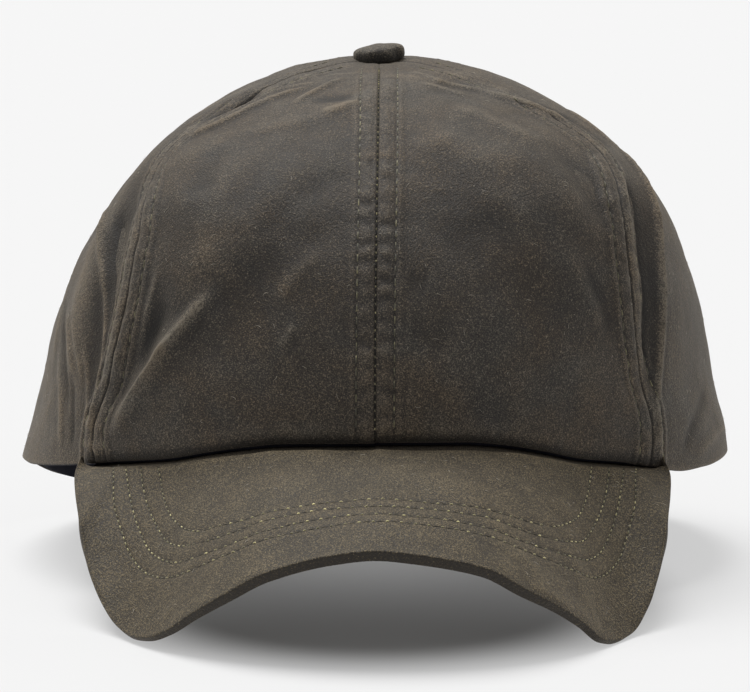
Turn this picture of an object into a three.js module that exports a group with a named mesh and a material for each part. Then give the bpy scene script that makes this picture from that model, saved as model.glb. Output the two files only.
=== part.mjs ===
// Waxed cotton cap with six panels, a covered button and a curved, stitched peak.
// Millimetres, +Z up. The front of the cap faces -Y, and left and right are as seen from the front.
// It rests on the two lowest points of its peak and on the back of its hem.
import * as THREE from 'three'

// Crown.
const rim_half_width = 93.2
const rim_front_reach = 101
const rim_back_reach = 91
const front_lift = 43.4
const crown_height = 131.8
const crown_lean = 1.1
const cloth = 1.3
const allowance_depth = 0.7
const allowance_width = 7
const seam_gap = 0.3
const top_hole_radius = 4

// Peak.
const peak_half_width = 75.3
const peak_length = 65
const peak_front_height = 29.3
const peak_angle = 52
const peak_bow = 2.2
const peak_board = 1.8
const peak_lining = 1.2
const edge_round = 0.5
const lining_setback = 1

// Sweatband and button.
const band_height = 31
const band_cloth = 1.1
const button_radius = 6.6
const button_height = 3
const button_dip = 1.5
const button_dip_radius = 9
const button_tilt = 5
const button_shank_radius = 2.8
const button_shank_depth = 2

// Clearances between neighbours.
const seat_gap = 0.35
const band_gap = 0.6

// Depth and half width of the folds in the cloth that a share of 1 stands for.
const fold_depth = 2.4
const fold_width = 6

// How finely the pieces are divided.
const panel_rows = 18
const front_columns = 14
const side_columns = 12
const back_columns = 9
const peak_columns = 36
const band_columns = 72
const button_sides = 24
const button_steps = 6

const degrees = Math.PI / 180

// Height of the hem by azimuth from the front, as shares of front_lift.
const hem_heights = [
  { azimuth: 0, left: 1, right: 1.005 },
  { azimuth: 14, left: 0.984, right: 0.995 },
  { azimuth: 20, left: 0.959, right: 0.972 },
  { azimuth: 27, left: 0.915, right: 0.922 },
  { azimuth: 34, left: 0.859, right: 0.857 },
  { azimuth: 43, left: 0.809, right: 0.802 },
  { azimuth: 52, left: 0.756, right: 0.751 },
  { azimuth: 70, left: 0.622, right: 0.636 },
  { azimuth: 90, left: 0.521, right: 0.558 },
  { azimuth: 115, left: 0.286, right: 0.396 },
  { azimuth: 150, left: 0.083, right: 0.127 },
  { azimuth: 180, left: -0.01, right: -0.01 },
]

// Level sections of the crown, by share of the height from the hem to the top, as shares of the rim's reaches.
const crown_sections = [
  { height: 0, left: 1, right: 1, front: 1, back: 1 },
  { height: 0.1, left: 0.972, right: 0.984, front: 0.995, back: 1.015 },
  { height: 0.2, left: 0.944, right: 0.957, front: 0.985, back: 1.025 },
  { height: 0.3, left: 0.917, right: 0.936, front: 0.965, back: 1.02 },
  { height: 0.4, left: 0.881, right: 0.913, front: 0.937, back: 1.005 },
  { height: 0.5, left: 0.837, right: 0.875, front: 0.9, back: 0.975 },
  { height: 0.6, left: 0.776, right: 0.832, front: 0.845, back: 0.92 },
  { height: 0.7, left: 0.696, right: 0.762, front: 0.77, back: 0.835 },
  { height: 0.8, left: 0.59, right: 0.65, front: 0.66, back: 0.715 },
  { height: 0.88, left: 0.46, right: 0.5, front: 0.525, back: 0.57 },
  { height: 0.94, left: 0.33, right: 0.34, front: 0.37, back: 0.41 },
  { height: 0.98, left: 0.17, right: 0.185, front: 0.2, back: 0.23 },
  { height: 1, left: 0, right: 0, front: 0, back: 0 },
]

// How square the front half of a section is. 2 is an ellipse.
const front_squareness = [
  { height: 0, power: 2 },
  { height: 0.3, power: 2.15 },
  { height: 0.55, power: 2.5 },
  { height: 0.76, power: 3 },
  { height: 0.88, power: 2.6 },
  { height: 1, power: 2.1 },
]

// Azimuths of the front seams and of the back seams on their way from the hem to the button.
const seam_lines = [
  { height: 0, front_left: 49.5, front_right: 48.2, back_left: 117, back_right: 117 },
  { height: 0.1, front_left: 51, front_right: 48.8, back_left: 118, back_right: 118 },
  { height: 0.24, front_left: 49, front_right: 47.8, back_left: 119, back_right: 119 },
  { height: 0.42, front_left: 47.5, front_right: 46.9, back_left: 120, back_right: 120 },
  { height: 0.56, front_left: 48.6, front_right: 47.5, back_left: 121, back_right: 121 },
  { height: 0.65, front_left: 51.5, front_right: 48.8, back_left: 122, back_right: 122 },
  { height: 0.74, front_left: 57.2, front_right: 52.5, back_left: 122, back_right: 122 },
  { height: 0.8, front_left: 59.8, front_right: 55, back_left: 122, back_right: 122 },
  { height: 0.88, front_left: 58.5, front_right: 55, back_left: 121, back_right: 121 },
  { height: 0.95, front_left: 56, front_right: 56, back_left: 120, back_right: 120 },
  { height: 1, front_left: 58, front_right: 58, back_left: 120, back_right: 120 },
]

// Folds of the crown, each from a low to a high point. Azimuths to the left are negative.
// Depth is out of the cap where positive, as a share of fold_depth, and width is a share of fold_width.
const crown_folds = [
  { low: 0.1, low_azimuth: -46, high: 0.4, high_azimuth: -33, width: 0.7, depth: 0.8 },
  { low: 0.16, low_azimuth: -47.5, high: 0.38, high_azimuth: -39.5, width: 0.8, depth: -0.7 },
  { low: 0.3, low_azimuth: -62, high: 0.7, high_azimuth: -68, width: 1, depth: 0.9 },
  { low: 0.2, low_azimuth: -54, high: 0.7, high_azimuth: -58, width: 0.9, depth: -0.9 },
  { low: 0.1, low_azimuth: 51, high: 0.45, high_azimuth: 57, width: 0.8, depth: 0.7 },
  { low: 0.4, low_azimuth: 56, high: 0.76, high_azimuth: 69, width: 0.9, depth: 0.9 },
  { low: 0.2, low_azimuth: 50, high: 0.66, high_azimuth: 55, width: 0.7, depth: -0.8 },
  { low: 0.3, low_azimuth: -24, high: 0.8, high_azimuth: -8, width: 1.8, depth: -0.5 },
  { low: 0.35, low_azimuth: 30, high: 0.8, high_azimuth: 12, width: 1.9, depth: -0.5 },
  { low: 0.84, low_azimuth: -34, high: 0.95, high_azimuth: 12, width: 1.1, depth: 0.5 },
]

// Outer edge of the peak by share of its length from the middle to the crown, as shares of peak_half_width
// and peak_length (from the front of the crown, forward positive). Its heights at the left and the right
// are shares of peak_front_height.
const peak_edge = [
  { share: 0, across: 0, forward: 1, left: 1, right: 1 },
  { share: 0.07, across: 0.14, forward: 0.99, left: 0.957, right: 0.962 },
  { share: 0.178, across: 0.349, forward: 0.922, left: 0.785, right: 0.828 },
  { share: 0.257, across: 0.476, forward: 0.841, left: 0.58, right: 0.624 },
  { share: 0.328, across: 0.578, forward: 0.749, left: 0.39, right: 0.453 },
  { share: 0.397, across: 0.666, forward: 0.645, left: 0.2, right: 0.262 },
  { share: 0.45, across: 0.73, forward: 0.552, left: 0.083, right: 0.115 },
  { share: 0.5, across: 0.786, forward: 0.45, left: 0.04, right: 0.04 },
  { share: 0.55, across: 0.834, forward: 0.346, left: 0.083, right: 0.083 },
  { share: 0.6, across: 0.875, forward: 0.246, left: 0.2, right: 0.2 },
  { share: 0.655, across: 0.91, forward: 0.137, left: 0.37, right: 0.37 },
  { share: 0.72, across: 0.942, forward: 0.017, left: 0.577, right: 0.577 },
  { share: 0.8, across: 0.971, forward: -0.138, left: 0.853, right: 0.84 },
  { share: 0.87, across: 0.99, forward: -0.308, left: 0.99, right: 0.97 },
  { share: 0.94, across: 1, forward: -0.454, left: 1.071, right: 1.05 },
  { share: 1, across: 0.981, forward: -0.566, left: 1.119, right: 1.11 },
]

// Where on the crown's hem each place of the peak's edge is carried to, both as shares from the middle.
const peak_roots = [
  { share: 0, root: 0 },
  { share: 0.2, root: 0.28 },
  { share: 0.4, root: 0.55 },
  { share: 0.6, root: 0.72 },
  { share: 0.8, root: 0.83 },
  { share: 1, root: 1 },
]

// Smooth value of a column of a table, by its first column, without overshoot between the rows.
function smooth(table, key, column, at) {
  const last = table.length - 1
  const value = Math.min(Math.max(at, table[0][key]), table[last][key])
  const slope = (i) => (table[i + 1][column] - table[i][column]) / (table[i + 1][key] - table[i][key])
  const tangent = (i) => {
    if (i === 0) return slope(0)
    if (i === last) return slope(last - 1)
    const before = slope(i - 1)
    const after = slope(i)
    return before * after > 0 ? (2 * before * after) / (before + after) : 0
  }
  let i = 0
  while (i < last - 1 && value > table[i + 1][key]) i++
  const step = table[i + 1][key] - table[i][key]
  const t = (value - table[i][key]) / step
  const t2 = t * t
  const t3 = t2 * t
  return (
    (2 * t3 - 3 * t2 + 1) * table[i][column] +
    (t3 - 2 * t2 + t) * step * tangent(i) +
    (3 * t2 - 2 * t3) * table[i + 1][column] +
    (t3 - t2) * step * tangent(i + 1)
  )
}

// The crown's reach at a height share. The root makes the table's rows even over the round top.
const round_sections = crown_sections.map((row) => ({ ...row, depth: -Math.sqrt(1 - row.height) }))

function reach(height, column) {
  return smooth(round_sections, 'depth', column, -Math.sqrt(Math.max(0, 1 - height)))
}

function hemHeight(azimuth) {
  return front_lift * smooth(hem_heights, 'azimuth', azimuth < 0 ? 'left' : 'right', Math.abs(azimuth))
}

// Eases from 0 to 1 as a value passes from one limit to another.
function ease(low, high, value) {
  const t = Math.min(Math.max((value - low) / (high - low), 0), 1)
  return t * t * (3 - 2 * t)
}

// How far the folds push the cloth out at a place of the crown. Each fades out at its two ends.
function foldPush(azimuth, height) {
  let push = 0
  for (const fold of crown_folds) {
    const share = (height - fold.low) / (fold.high - fold.low)
    const path = fold.low_azimuth + (fold.high_azimuth - fold.low_azimuth) * share
    const radius = rim_half_width * reach(height, 'left')
    const across = ((azimuth - path) * degrees * radius) / (fold.width * fold_width)
    const fade = ease(-0.25, 0.2, share) * (1 - ease(0.8, 1.25, share))
    push += fold.depth * fold_depth * fade * Math.exp(-across * across)
  }
  return push
}

// A point of the crown before its folds, by azimuth from the front in degrees and height share.
function plainCrown(azimuth, height) {
  const s = Math.sin(azimuth * degrees)
  const c = Math.cos(azimuth * degrees)
  const power = c > 0 ? smooth(front_squareness, 'height', 'power', height) : 2
  const radius = Math.pow(Math.pow(Math.abs(s), power) + Math.pow(Math.abs(c), power), -1 / power)
  const across = rim_half_width * reach(height, s < 0 ? 'left' : 'right')
  const along = c > 0 ? rim_front_reach * reach(height, 'front') : rim_back_reach * reach(height, 'back')
  const x = across * radius * s
  const y = -along * radius * c
  const dip = button_dip * Math.exp(-(x * x + y * y) / (button_dip_radius * button_dip_radius))
  const z = hemHeight(azimuth) * (1 - height) + crown_height * height - dip
  return new THREE.Vector3(x + crown_lean * height * height, y, z)
}

// The crown's outward direction, from two short steps over it.
function crownNormal(azimuth, height) {
  const step = 0.5
  const rise = 0.004
  const around = plainCrown(azimuth + step, height).sub(plainCrown(azimuth - step, height))
  const up = plainCrown(azimuth, Math.min(height + rise, 1)).sub(plainCrown(azimuth, Math.max(height - rise, 0)))
  return around.cross(up).normalize()
}

// A point of the crown's cloth at a depth under its outer face.
function crownPoint(azimuth, height, depth) {
  const point = plainCrown(azimuth, height)
  const push = foldPush(azimuth, height) - depth
  const level = point.z
  point.addScaledVector(crownNormal(azimuth, height), push)
  if (height <= hem_share) point.z = level
  return point
}

// The hem's lowest row keeps level, a seat gap above the peak.
const hem_share = seat_gap / (crown_height - front_lift)

// About how much faster the reach grows than the square root of the way down from the top.
const top_roundness = 1.2

// Height shares from the hem to the hole at the top, even along the cloth.
function heightShares(rows) {
  const top = top_hole_radius / (rim_half_width * top_roundness)
  const shares = []
  for (let j = 0; j <= rows; j++) {
    const down = 1 + (top - 1) * (j / rows)
    shares.push(Math.max(1 - down * down, hem_share))
  }
  return shares
}

// Joins a grid of outer points and a grid of inner points of the same size into one closed shell.
// The outer faces point the way that the first direction crossed with the second one does.
function shell(outer, inner) {
  const rows = outer.length
  const columns = outer[0].length
  const positions = []
  for (const grid of [outer, inner]) for (const row of grid) for (const p of row) positions.push(p.x, p.y, p.z)
  const at = (side, j, i) => side * rows * columns + j * columns + i
  const triangles = []
  const quad = (a, b, c, d) => triangles.push(a, b, c, a, c, d)
  for (let j = 0; j < rows - 1; j++) {
    for (let i = 0; i < columns - 1; i++) {
      quad(at(0, j, i), at(0, j, i + 1), at(0, j + 1, i + 1), at(0, j + 1, i))
      quad(at(1, j, i), at(1, j + 1, i), at(1, j + 1, i + 1), at(1, j, i + 1))
    }
  }
  for (let i = 0; i < columns - 1; i++) {
    quad(at(1, 0, i), at(1, 0, i + 1), at(0, 0, i + 1), at(0, 0, i))
    quad(at(0, rows - 1, i), at(0, rows - 1, i + 1), at(1, rows - 1, i + 1), at(1, rows - 1, i))
  }
  for (let j = 0; j < rows - 1; j++) {
    quad(at(0, j, 0), at(0, j + 1, 0), at(1, j + 1, 0), at(1, j, 0))
    quad(at(1, j, columns - 1), at(1, j + 1, columns - 1), at(0, j + 1, columns - 1), at(0, j, columns - 1))
  }
  const geometry = new THREE.BufferGeometry()
  geometry.setAttribute('position', new THREE.Float32BufferAttribute(positions, 3))
  geometry.setIndex(triangles)
  return geometry
}

// Joins two rings of section points, carried round a closed loop, into one closed ring.
function ring(outer, inner) {
  const rows = outer.length
  const columns = outer[0].length
  const positions = []
  for (const grid of [outer, inner]) for (const row of grid) for (const p of row) positions.push(p.x, p.y, p.z)
  const at = (side, j, i) => side * rows * columns + j * columns + (i % columns)
  const triangles = []
  const quad = (a, b, c, d) => triangles.push(a, b, c, a, c, d)
  for (let i = 0; i < columns; i++) {
    for (let j = 0; j < rows - 1; j++) {
      quad(at(0, j, i), at(0, j, i + 1), at(0, j + 1, i + 1), at(0, j + 1, i))
      quad(at(1, j, i), at(1, j + 1, i), at(1, j + 1, i + 1), at(1, j, i + 1))
    }
    quad(at(1, 0, i), at(1, 0, i + 1), at(0, 0, i + 1), at(0, 0, i))
    quad(at(0, rows - 1, i), at(0, rows - 1, i + 1), at(1, rows - 1, i + 1), at(1, rows - 1, i))
  }
  const geometry = new THREE.BufferGeometry()
  geometry.setAttribute('position', new THREE.Float32BufferAttribute(positions, 3))
  geometry.setIndex(triangles)
  return geometry
}

// A crown panel between two seams. Each seam is a function of the height share that gives its azimuth.
// The allowance of each seam is turned in, so the panel is thicker on the inside beside it.
function crownPanel(from, to, columns, rows) {
  const outer = []
  const inner = []
  for (const height of heightShares(rows)) {
    const middle = plainCrown((from(height) + to(height)) / 2, height)
    const radius = Math.hypot(middle.x, middle.y)
    const half_gap = seam_gap / 2 / radius / degrees
    const low = from(height) + half_gap
    const high = to(height) - half_gap
    const width = (high - low) * degrees * radius
    const turned = Math.min(allowance_width / width, 0.4)
    const step = Math.min(1 / width, 0.05)
    const shares = [0, turned, turned + step]
    const between = columns - 5
    for (let i = 1; i <= between; i++) {
      shares.push(turned + step + ((1 - 2 * turned - 2 * step) * i) / (between + 1))
    }
    shares.push(1 - turned - step, 1 - turned, 1)
    const outer_row = []
    const inner_row = []
    for (const [i, share] of shares.entries()) {
      const azimuth = low + (high - low) * share
      const folded_in = i <= 1 || i >= shares.length - 2
      outer_row.push(crownPoint(azimuth, height, 0))
      inner_row.push(crownPoint(azimuth, height, cloth + (folded_in ? allowance_depth : 0)))
    }
    outer.push(outer_row)
    inner.push(inner_row)
  }
  return shell(outer, inner)
}

const seam = (column, sign) => (height) => sign * smooth(seam_lines, 'height', column, height)
const centre_front = () => 0
const centre_back_left = () => -180
const centre_back_right = () => 180

// The hem line that the peak is sewn to, by place from -1 at the left end to 1 at the right end,
// at a level distance inside the crown's outer face.
function peakRoot(place, inside) {
  const azimuth = Math.sign(place) * peak_angle * smooth(peak_roots, 'share', 'root', Math.abs(place))
  const point = plainCrown(azimuth, 0)
  const inward = crownNormal(azimuth, 0)
  inward.z = 0
  return point.addScaledVector(inward.normalize(), -inside)
}

function peakEdgePoint(place) {
  const share = Math.abs(place)
  const across = Math.sign(place) * peak_half_width * smooth(peak_edge, 'share', 'across', share)
  const forward = peak_length * smooth(peak_edge, 'share', 'forward', share)
  const z = peak_front_height * smooth(peak_edge, 'share', place < 0 ? 'left' : 'right', share)
  return new THREE.Vector3(across, -rim_front_reach - forward, z)
}

// A point of the peak's upper face, on the straight line from the hem to the edge, bowed a little upwards.
function peakPoint(place, out) {
  const root = peakRoot(place, 0)
  const edge = peakEdgePoint(place)
  const bow = peak_bow * 4 * out * (1 - out) * Math.pow(root.distanceTo(edge) / peak_length, 2)
  const point = root.lerp(edge, out)
  point.z += bow - seat_gap * (1 - out)
  return point
}

// The peak's upward direction. Its ends are too short to tell, so they take that of the peak beside them.
function peakNormal(end_place, out) {
  const step = 0.01
  const place = Math.min(Math.max(end_place, -0.9), 0.9)
  const around = peakPoint(place + step, out).sub(peakPoint(place - step, out))
  const outwards = peakPoint(place, Math.min(out + step, 1)).sub(peakPoint(place, Math.max(out - step, 0)))
  return outwards.cross(around).normalize()
}

// Places along the peak, closer together where its edge turns most.
function peakPlaces(count) {
  const places = []
  for (let i = 0; i <= count; i++) {
    const t = (2 * i) / count - 1
    places.push(t + 0.05 * Math.sin(2 * Math.PI * Math.abs(t)) * Math.sign(t))
  }
  return places
}

// A layer of the peak from one depth under the upper face to another. Its root is tucked under the crown.
// Its upper and lower faces stop short of the peak's outer edge by the two setbacks.
function peakLayer(top, bottom, top_setback, bottom_setback) {
  const tuck = cloth + allowance_depth - 0.1
  const outs = [0, 0.12, 0.3, 0.5, 0.7, 0.86, 1]
  const face = (depth, setback) => {
    const tucked = peakPlaces(peak_columns).map((place) => {
      const point = peakRoot(place, tuck)
      point.z -= seat_gap + depth
      return point
    })
    const rows = outs.map((out) =>
      peakPlaces(peak_columns).map((place) => {
        const length = peakRoot(place, 0).distanceTo(peakEdgePoint(place))
        const share = out * (1 - setback / (length + setback))
        const point = peakPoint(place, share)
        if (out > 0) return point.addScaledVector(peakNormal(place, share), -depth)
        point.z -= depth
        return point
      }),
    )
    return [tucked, ...rows]
  }
  return shell(face(bottom, bottom_setback), face(top, top_setback))
}

// The sweatband stands inside the crown along the whole hem.
function bandRing() {
  const columns = band_columns
  const levels = [0, 0.33, 0.66, 1]
  const outside = cloth + allowance_depth + band_gap
  const faces = [outside, outside + band_cloth].map((depth) =>
    levels.map((level) => {
      const row = []
      for (let i = 0; i < columns; i++) {
        const azimuth = (360 * i) / columns - 180
        const rise = hem_share + (level * band_height) / (crown_height - hemHeight(azimuth))
        const point = plainCrown(azimuth, rise)
        const pushes = [-4, -2, 0, 2, 4].map((beside) => foldPush(azimuth + beside, rise))
        const push = Math.min(...pushes, 0) - depth
        const flat = point.z
        point.addScaledVector(crownNormal(azimuth, rise), push)
        if (level === 0) point.z = flat
        row.push(point)
      }
      return row
    }),
  )
  return ring(faces[0], faces[1])
}

// The covered button, a low dome with a shank that stands in the hole where the panels meet.
function buttonBody() {
  const profile = [
    new THREE.Vector2(0, -button_shank_depth),
    new THREE.Vector2(button_shank_radius, -button_shank_depth),
    new THREE.Vector2(button_shank_radius, 0),
    new THREE.Vector2(button_radius * 0.9, 0),
  ]
  const steps = button_steps
  for (let i = 0; i <= steps; i++) {
    const turn = (Math.PI / 2) * (i / steps)
    const r = button_radius * Math.pow(Math.cos(turn), 0.7)
    const z = button_height * (0.25 + 0.75 * Math.sin(turn))
    profile.push(new THREE.Vector2(i === steps ? 0 : r, z))
  }
  const geometry = new THREE.LatheGeometry(profile, button_sides)
  geometry.rotateX(Math.PI / 2)
  return geometry
}

function waxedCotton(colour) {
  return new THREE.MeshStandardMaterial({ color: colour, roughness: 0.78, metalness: 0 })
}

function bandCloth() {
  return new THREE.MeshStandardMaterial({ color: '#22222b', roughness: 0.9, metalness: 0 })
}

const group = new THREE.Group()
group.name = 'waxed_cap'

function add(name, geometry, material) {
  const mesh = new THREE.Mesh(geometry, material)
  mesh.name = name
  group.add(mesh)
  return mesh
}

const front_left = seam('front_left', -1)
const front_right = seam('front_right', 1)
const back_left = seam('back_left', -1)
const back_right = seam('back_right', 1)

add('front_panel_left', crownPanel(front_left, centre_front, front_columns, panel_rows), waxedCotton('#4b453f'))
add('front_panel_right', crownPanel(centre_front, front_right, front_columns, panel_rows), waxedCotton('#4b453f'))
add('side_panel_left', crownPanel(back_left, front_left, side_columns, panel_rows), waxedCotton('#57504a'))
add('side_panel_right', crownPanel(front_right, back_right, side_columns, panel_rows), waxedCotton('#57504a'))
add('back_panel_left', crownPanel(centre_back_left, back_left, back_columns, panel_rows), waxedCotton('#4b453f'))
add('back_panel_right', crownPanel(back_right, centre_back_right, back_columns, panel_rows), waxedCotton('#4b453f'))

const lining_top = peak_board + seam_gap
const lining_bottom = lining_top + peak_lining
const lining_inset = lining_setback + edge_round
add('peak_cover', peakLayer(0, peak_board, edge_round, 0), waxedCotton('#5f574c'))
add('peak_under', peakLayer(lining_top, lining_bottom, lining_setback, lining_inset), waxedCotton('#4a443d'))
add('sweatband', bandRing(), bandCloth())

const button = add('top_button', buttonBody(), waxedCotton('#655d54'))
const lean = button_radius * Math.sin(button_tilt * degrees)
button.position.set(crown_lean, 0, crown_height - button_dip + seat_gap + lean)
button.rotation.set(0, -button_tilt * degrees, 0)

// The frame's origin is under the middle of the whole cap, at the level that it rests on.
group.updateMatrixWorld(true)
const box = new THREE.Box3().setFromObject(group, true)
group.position.set(-(box.min.x + box.max.x) / 2, -(box.min.y + box.max.y) / 2, -box.min.z)

export default group
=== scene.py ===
"""The looks of a waxed cotton cap with six panels: its cloth, seams, stitch rows, creases, wear, and painted
light and shade.
"""

import bpy
import numpy as np
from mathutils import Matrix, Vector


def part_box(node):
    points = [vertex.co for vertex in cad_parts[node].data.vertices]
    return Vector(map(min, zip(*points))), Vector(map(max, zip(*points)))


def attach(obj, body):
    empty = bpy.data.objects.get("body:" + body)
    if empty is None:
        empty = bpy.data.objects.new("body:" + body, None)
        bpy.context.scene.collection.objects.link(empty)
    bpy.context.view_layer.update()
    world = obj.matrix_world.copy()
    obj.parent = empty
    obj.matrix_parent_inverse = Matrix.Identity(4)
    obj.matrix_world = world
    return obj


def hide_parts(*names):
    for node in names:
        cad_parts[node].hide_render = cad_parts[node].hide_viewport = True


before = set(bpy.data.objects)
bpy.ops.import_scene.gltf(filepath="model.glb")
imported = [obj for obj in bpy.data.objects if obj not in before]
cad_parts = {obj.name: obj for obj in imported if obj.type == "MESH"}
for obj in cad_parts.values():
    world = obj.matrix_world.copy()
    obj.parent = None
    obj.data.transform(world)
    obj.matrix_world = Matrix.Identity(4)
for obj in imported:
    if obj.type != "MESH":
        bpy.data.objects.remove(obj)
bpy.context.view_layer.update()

# The form is worked out in millimetres from the crown's own axis, front towards -Y, as the solids are.
METRES = 0.001
AXIS_TO_ORIGIN = np.array([-0.0236, 36.1205, -0.0896])

RIM_HALF_WIDTH = 93.2
RIM_FRONT_REACH = 101.0
RIM_BACK_REACH = 91.0
FRONT_LIFT = 43.4
CROWN_HEIGHT = 131.8
CROWN_LEAN = 1.1
CLOTH = 1.3
ALLOWANCE_DEPTH = 0.7
ALLOWANCE_WIDTH = 7.0
SEAM_GAP = 0.02
TOP_HOLE_RADIUS = 4.0
TOP_ROUNDNESS = 1.2

PEAK_HALF_WIDTH = 75.3
PEAK_LENGTH = 65.0
PEAK_FRONT_HEIGHT = 29.3
PEAK_ANGLE = 52.0
PEAK_BOW = 2.2
PEAK_BOARD = 1.8
PEAK_LINING = 1.2
PEAK_EDGE_HEIGHT = 2.9
PEAK_EDGE_THINNING = 0.9
PEAK_EDGE_ROUND = 0.40
PEAK_TURN_UNDER = 5.0
PEAK_TUCK = 3.6
BAND_DROP = 2.0
SEAT_GAP = 0.35

BAND_HEIGHT = 31.0
BAND_CLOTH = 1.1
BAND_GAP = 0.6

BUTTON_RADIUS = 6.6
BUTTON_HEIGHT = 3.0
BUTTON_DIP = 1.5
BUTTON_DIP_RADIUS = 9.0
BUTTON_TILT = 8.0

FOLD_DEPTH = 2.4
FOLD_WIDTH = 6.0

STITCH_PITCH = 3.2
SEAM_STITCH_PITCH = 2.2
PEAK_STITCH_PITCH = 3.35
SIDE_STITCH_PITCH = 2.25
STITCH_FLATNESS = 0.8
TOPSTITCH_OFFSET = 4.7
ROW_TURN = 0.34
PUCKER_LENGTH = 5.6
HEM_TURN_IN = 2.3
HEM_STAND_OFF = 0.45
HEM_LIES_DOWN = 0.6
HEM_ROUND = 0.65
HEM_ROW_CLOSENESS = 1.35
TURN_IN_HEIGHT = 4.6
STAND_OFF_HEIGHT = 5.0
LIFT_FADE = 16.0
PUCKER_PLACE = 2.6
TOP_DROP = 0.5
FRONT_TOP_DROP = 0.9
RIGHT_EDGE_INSET = 1.1
ROW_GROOVE = 0.16
ROW_RIB = 0.06
ROOT_DROP = 0.9
LINING_GAP = 0.15
MILLIMETRES_PER_DEGREE = 1.6

# Creases narrower than the first width have a pale line, and ones from the second on get no painted shade.
SHARP_CREASE = 3.2
BROAD_CREASE = 5.0

# How much paler or darker the cloth is drawn, in the units of the wear_and_painted_light attribute, which
# carries rubbed wax and painted light and shade alike.
CREASE_PALENESS = 1.3
# Painted shade in hollow creases.
CREASE_PAINTED_SHADE = 0.6
RUBBED_PALENESS = 1.2
# Painted light towards the crown's top and painted shade at mid height.
TOP_PAINTED_LIGHT = 0.45
SEAM_DARKNESS = 1.4
# Painted shade on the front hem just over the peak.
HEM_PAINTED_SHADE = 3.0
# Painted shade on the peak's edge band and under the button's rim.
EDGE_PAINTED_SHADE = 2.4

# Numbers that seam_distance gives to the two sides of the centre front seam and of the two beside it.
CENTRE_FRONT_SIDES = [6, 7]
FRONT_SEAM_SIDES = [4, 5, 8, 9]

# Height shares between which the crown goes flat towards the button.
BUTTON_SURROUND = (0.955, 0.988)

# Soft waves of the cloth. Columns: push and size in millimetres, seed.
CROWN_WAVES = [(0.30, 42, 21), (0.10, 18, 22), (0.03, 7, 23)]
PEAK_WAVES = [(0.16, 30, 31), (0.07, 11, 32), (0.03, 5, 33)]

# Height of the hem. Columns: azimuth from the front, left and right shares of FRONT_LIFT.
HEM = np.array([
    (0, 1, 1.005), (14, 0.984, 0.995), (20, 0.959, 0.972), (27, 0.915, 0.922), (34, 0.859, 0.857),
    (43, 0.809, 0.802), (52, 0.756, 0.751), (70, 0.622, 0.636), (90, 0.521, 0.558), (115, 0.286, 0.396),
    (150, 0.083, 0.127), (180, -0.01, -0.01),
])

# Level sections. Columns: height share, then left, right, front and back shares of the rim's reaches.
SECTIONS = np.array([
    (0, 1, 1, 1, 1), (0.1, 0.972, 0.984, 0.995, 1.015), (0.2, 0.944, 0.957, 0.985, 1.025),
    (0.3, 0.917, 0.936, 0.965, 1.02), (0.4, 0.881, 0.913, 0.937, 1.005), (0.5, 0.837, 0.875, 0.9, 0.975),
    (0.6, 0.776, 0.832, 0.845, 0.92), (0.7, 0.696, 0.762, 0.77, 0.835), (0.8, 0.59, 0.65, 0.66, 0.715),
    (0.88, 0.46, 0.5, 0.525, 0.57), (0.94, 0.33, 0.34, 0.37, 0.41), (0.98, 0.17, 0.185, 0.2, 0.23),
    (1, 0, 0, 0, 0),
])
ROUND_SECTIONS = np.column_stack([-np.sqrt(1 - SECTIONS[:, 0]), SECTIONS[:, 1:]])

# How square the front half of a section is. Columns: height share, power, where 2 is an ellipse.
SQUARENESS = np.array([(0, 2), (0.3, 2.15), (0.55, 2.5), (0.76, 3), (0.88, 2.6), (1, 2.1)])

# Seams. Columns: height share, azimuths of the front left, front right and back seams.
SEAMS = np.array([
    (0, 49.5, 48.2, 117), (0.1, 51, 48.8, 118), (0.24, 49, 47.8, 119), (0.42, 47.5, 46.9, 120),
    (0.56, 48.6, 47.5, 121), (0.65, 51.5, 48.8, 122), (0.74, 57.2, 52.5, 122), (0.8, 59.8, 55, 122),
    (0.88, 58.5, 55, 121), (0.95, 56, 56, 120), (1, 58, 58, 120),
])

# Large folds. Columns: height share and azimuth of both ends, then shares of FOLD_WIDTH and FOLD_DEPTH.
FOLDS = np.array([
    (0.1, -44.5, 0.4, -31.5, 0.6, 0.5), (0.16, -47.5, 0.38, -39.5, 0.8, -0.7), (0.3, -62, 0.8, -70, 1, 0.45),
    (0.2, -54, 0.7, -58, 0.9, -0.9), (0.1, 50, 0.45, 55, 0.6, 0.2), (0.4, 55, 0.72, 64, 0.7, 0.3),
    (0.2, 50, 0.66, 55, 0.7, -0.8), (0.3, -24, 0.8, -8, 1.8, -0.5), (0.35, 30, 0.8, 12, 1.9, -0.5),
    (0.84, -34, 0.95, 12, 1.1, 0.25),
])

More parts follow.
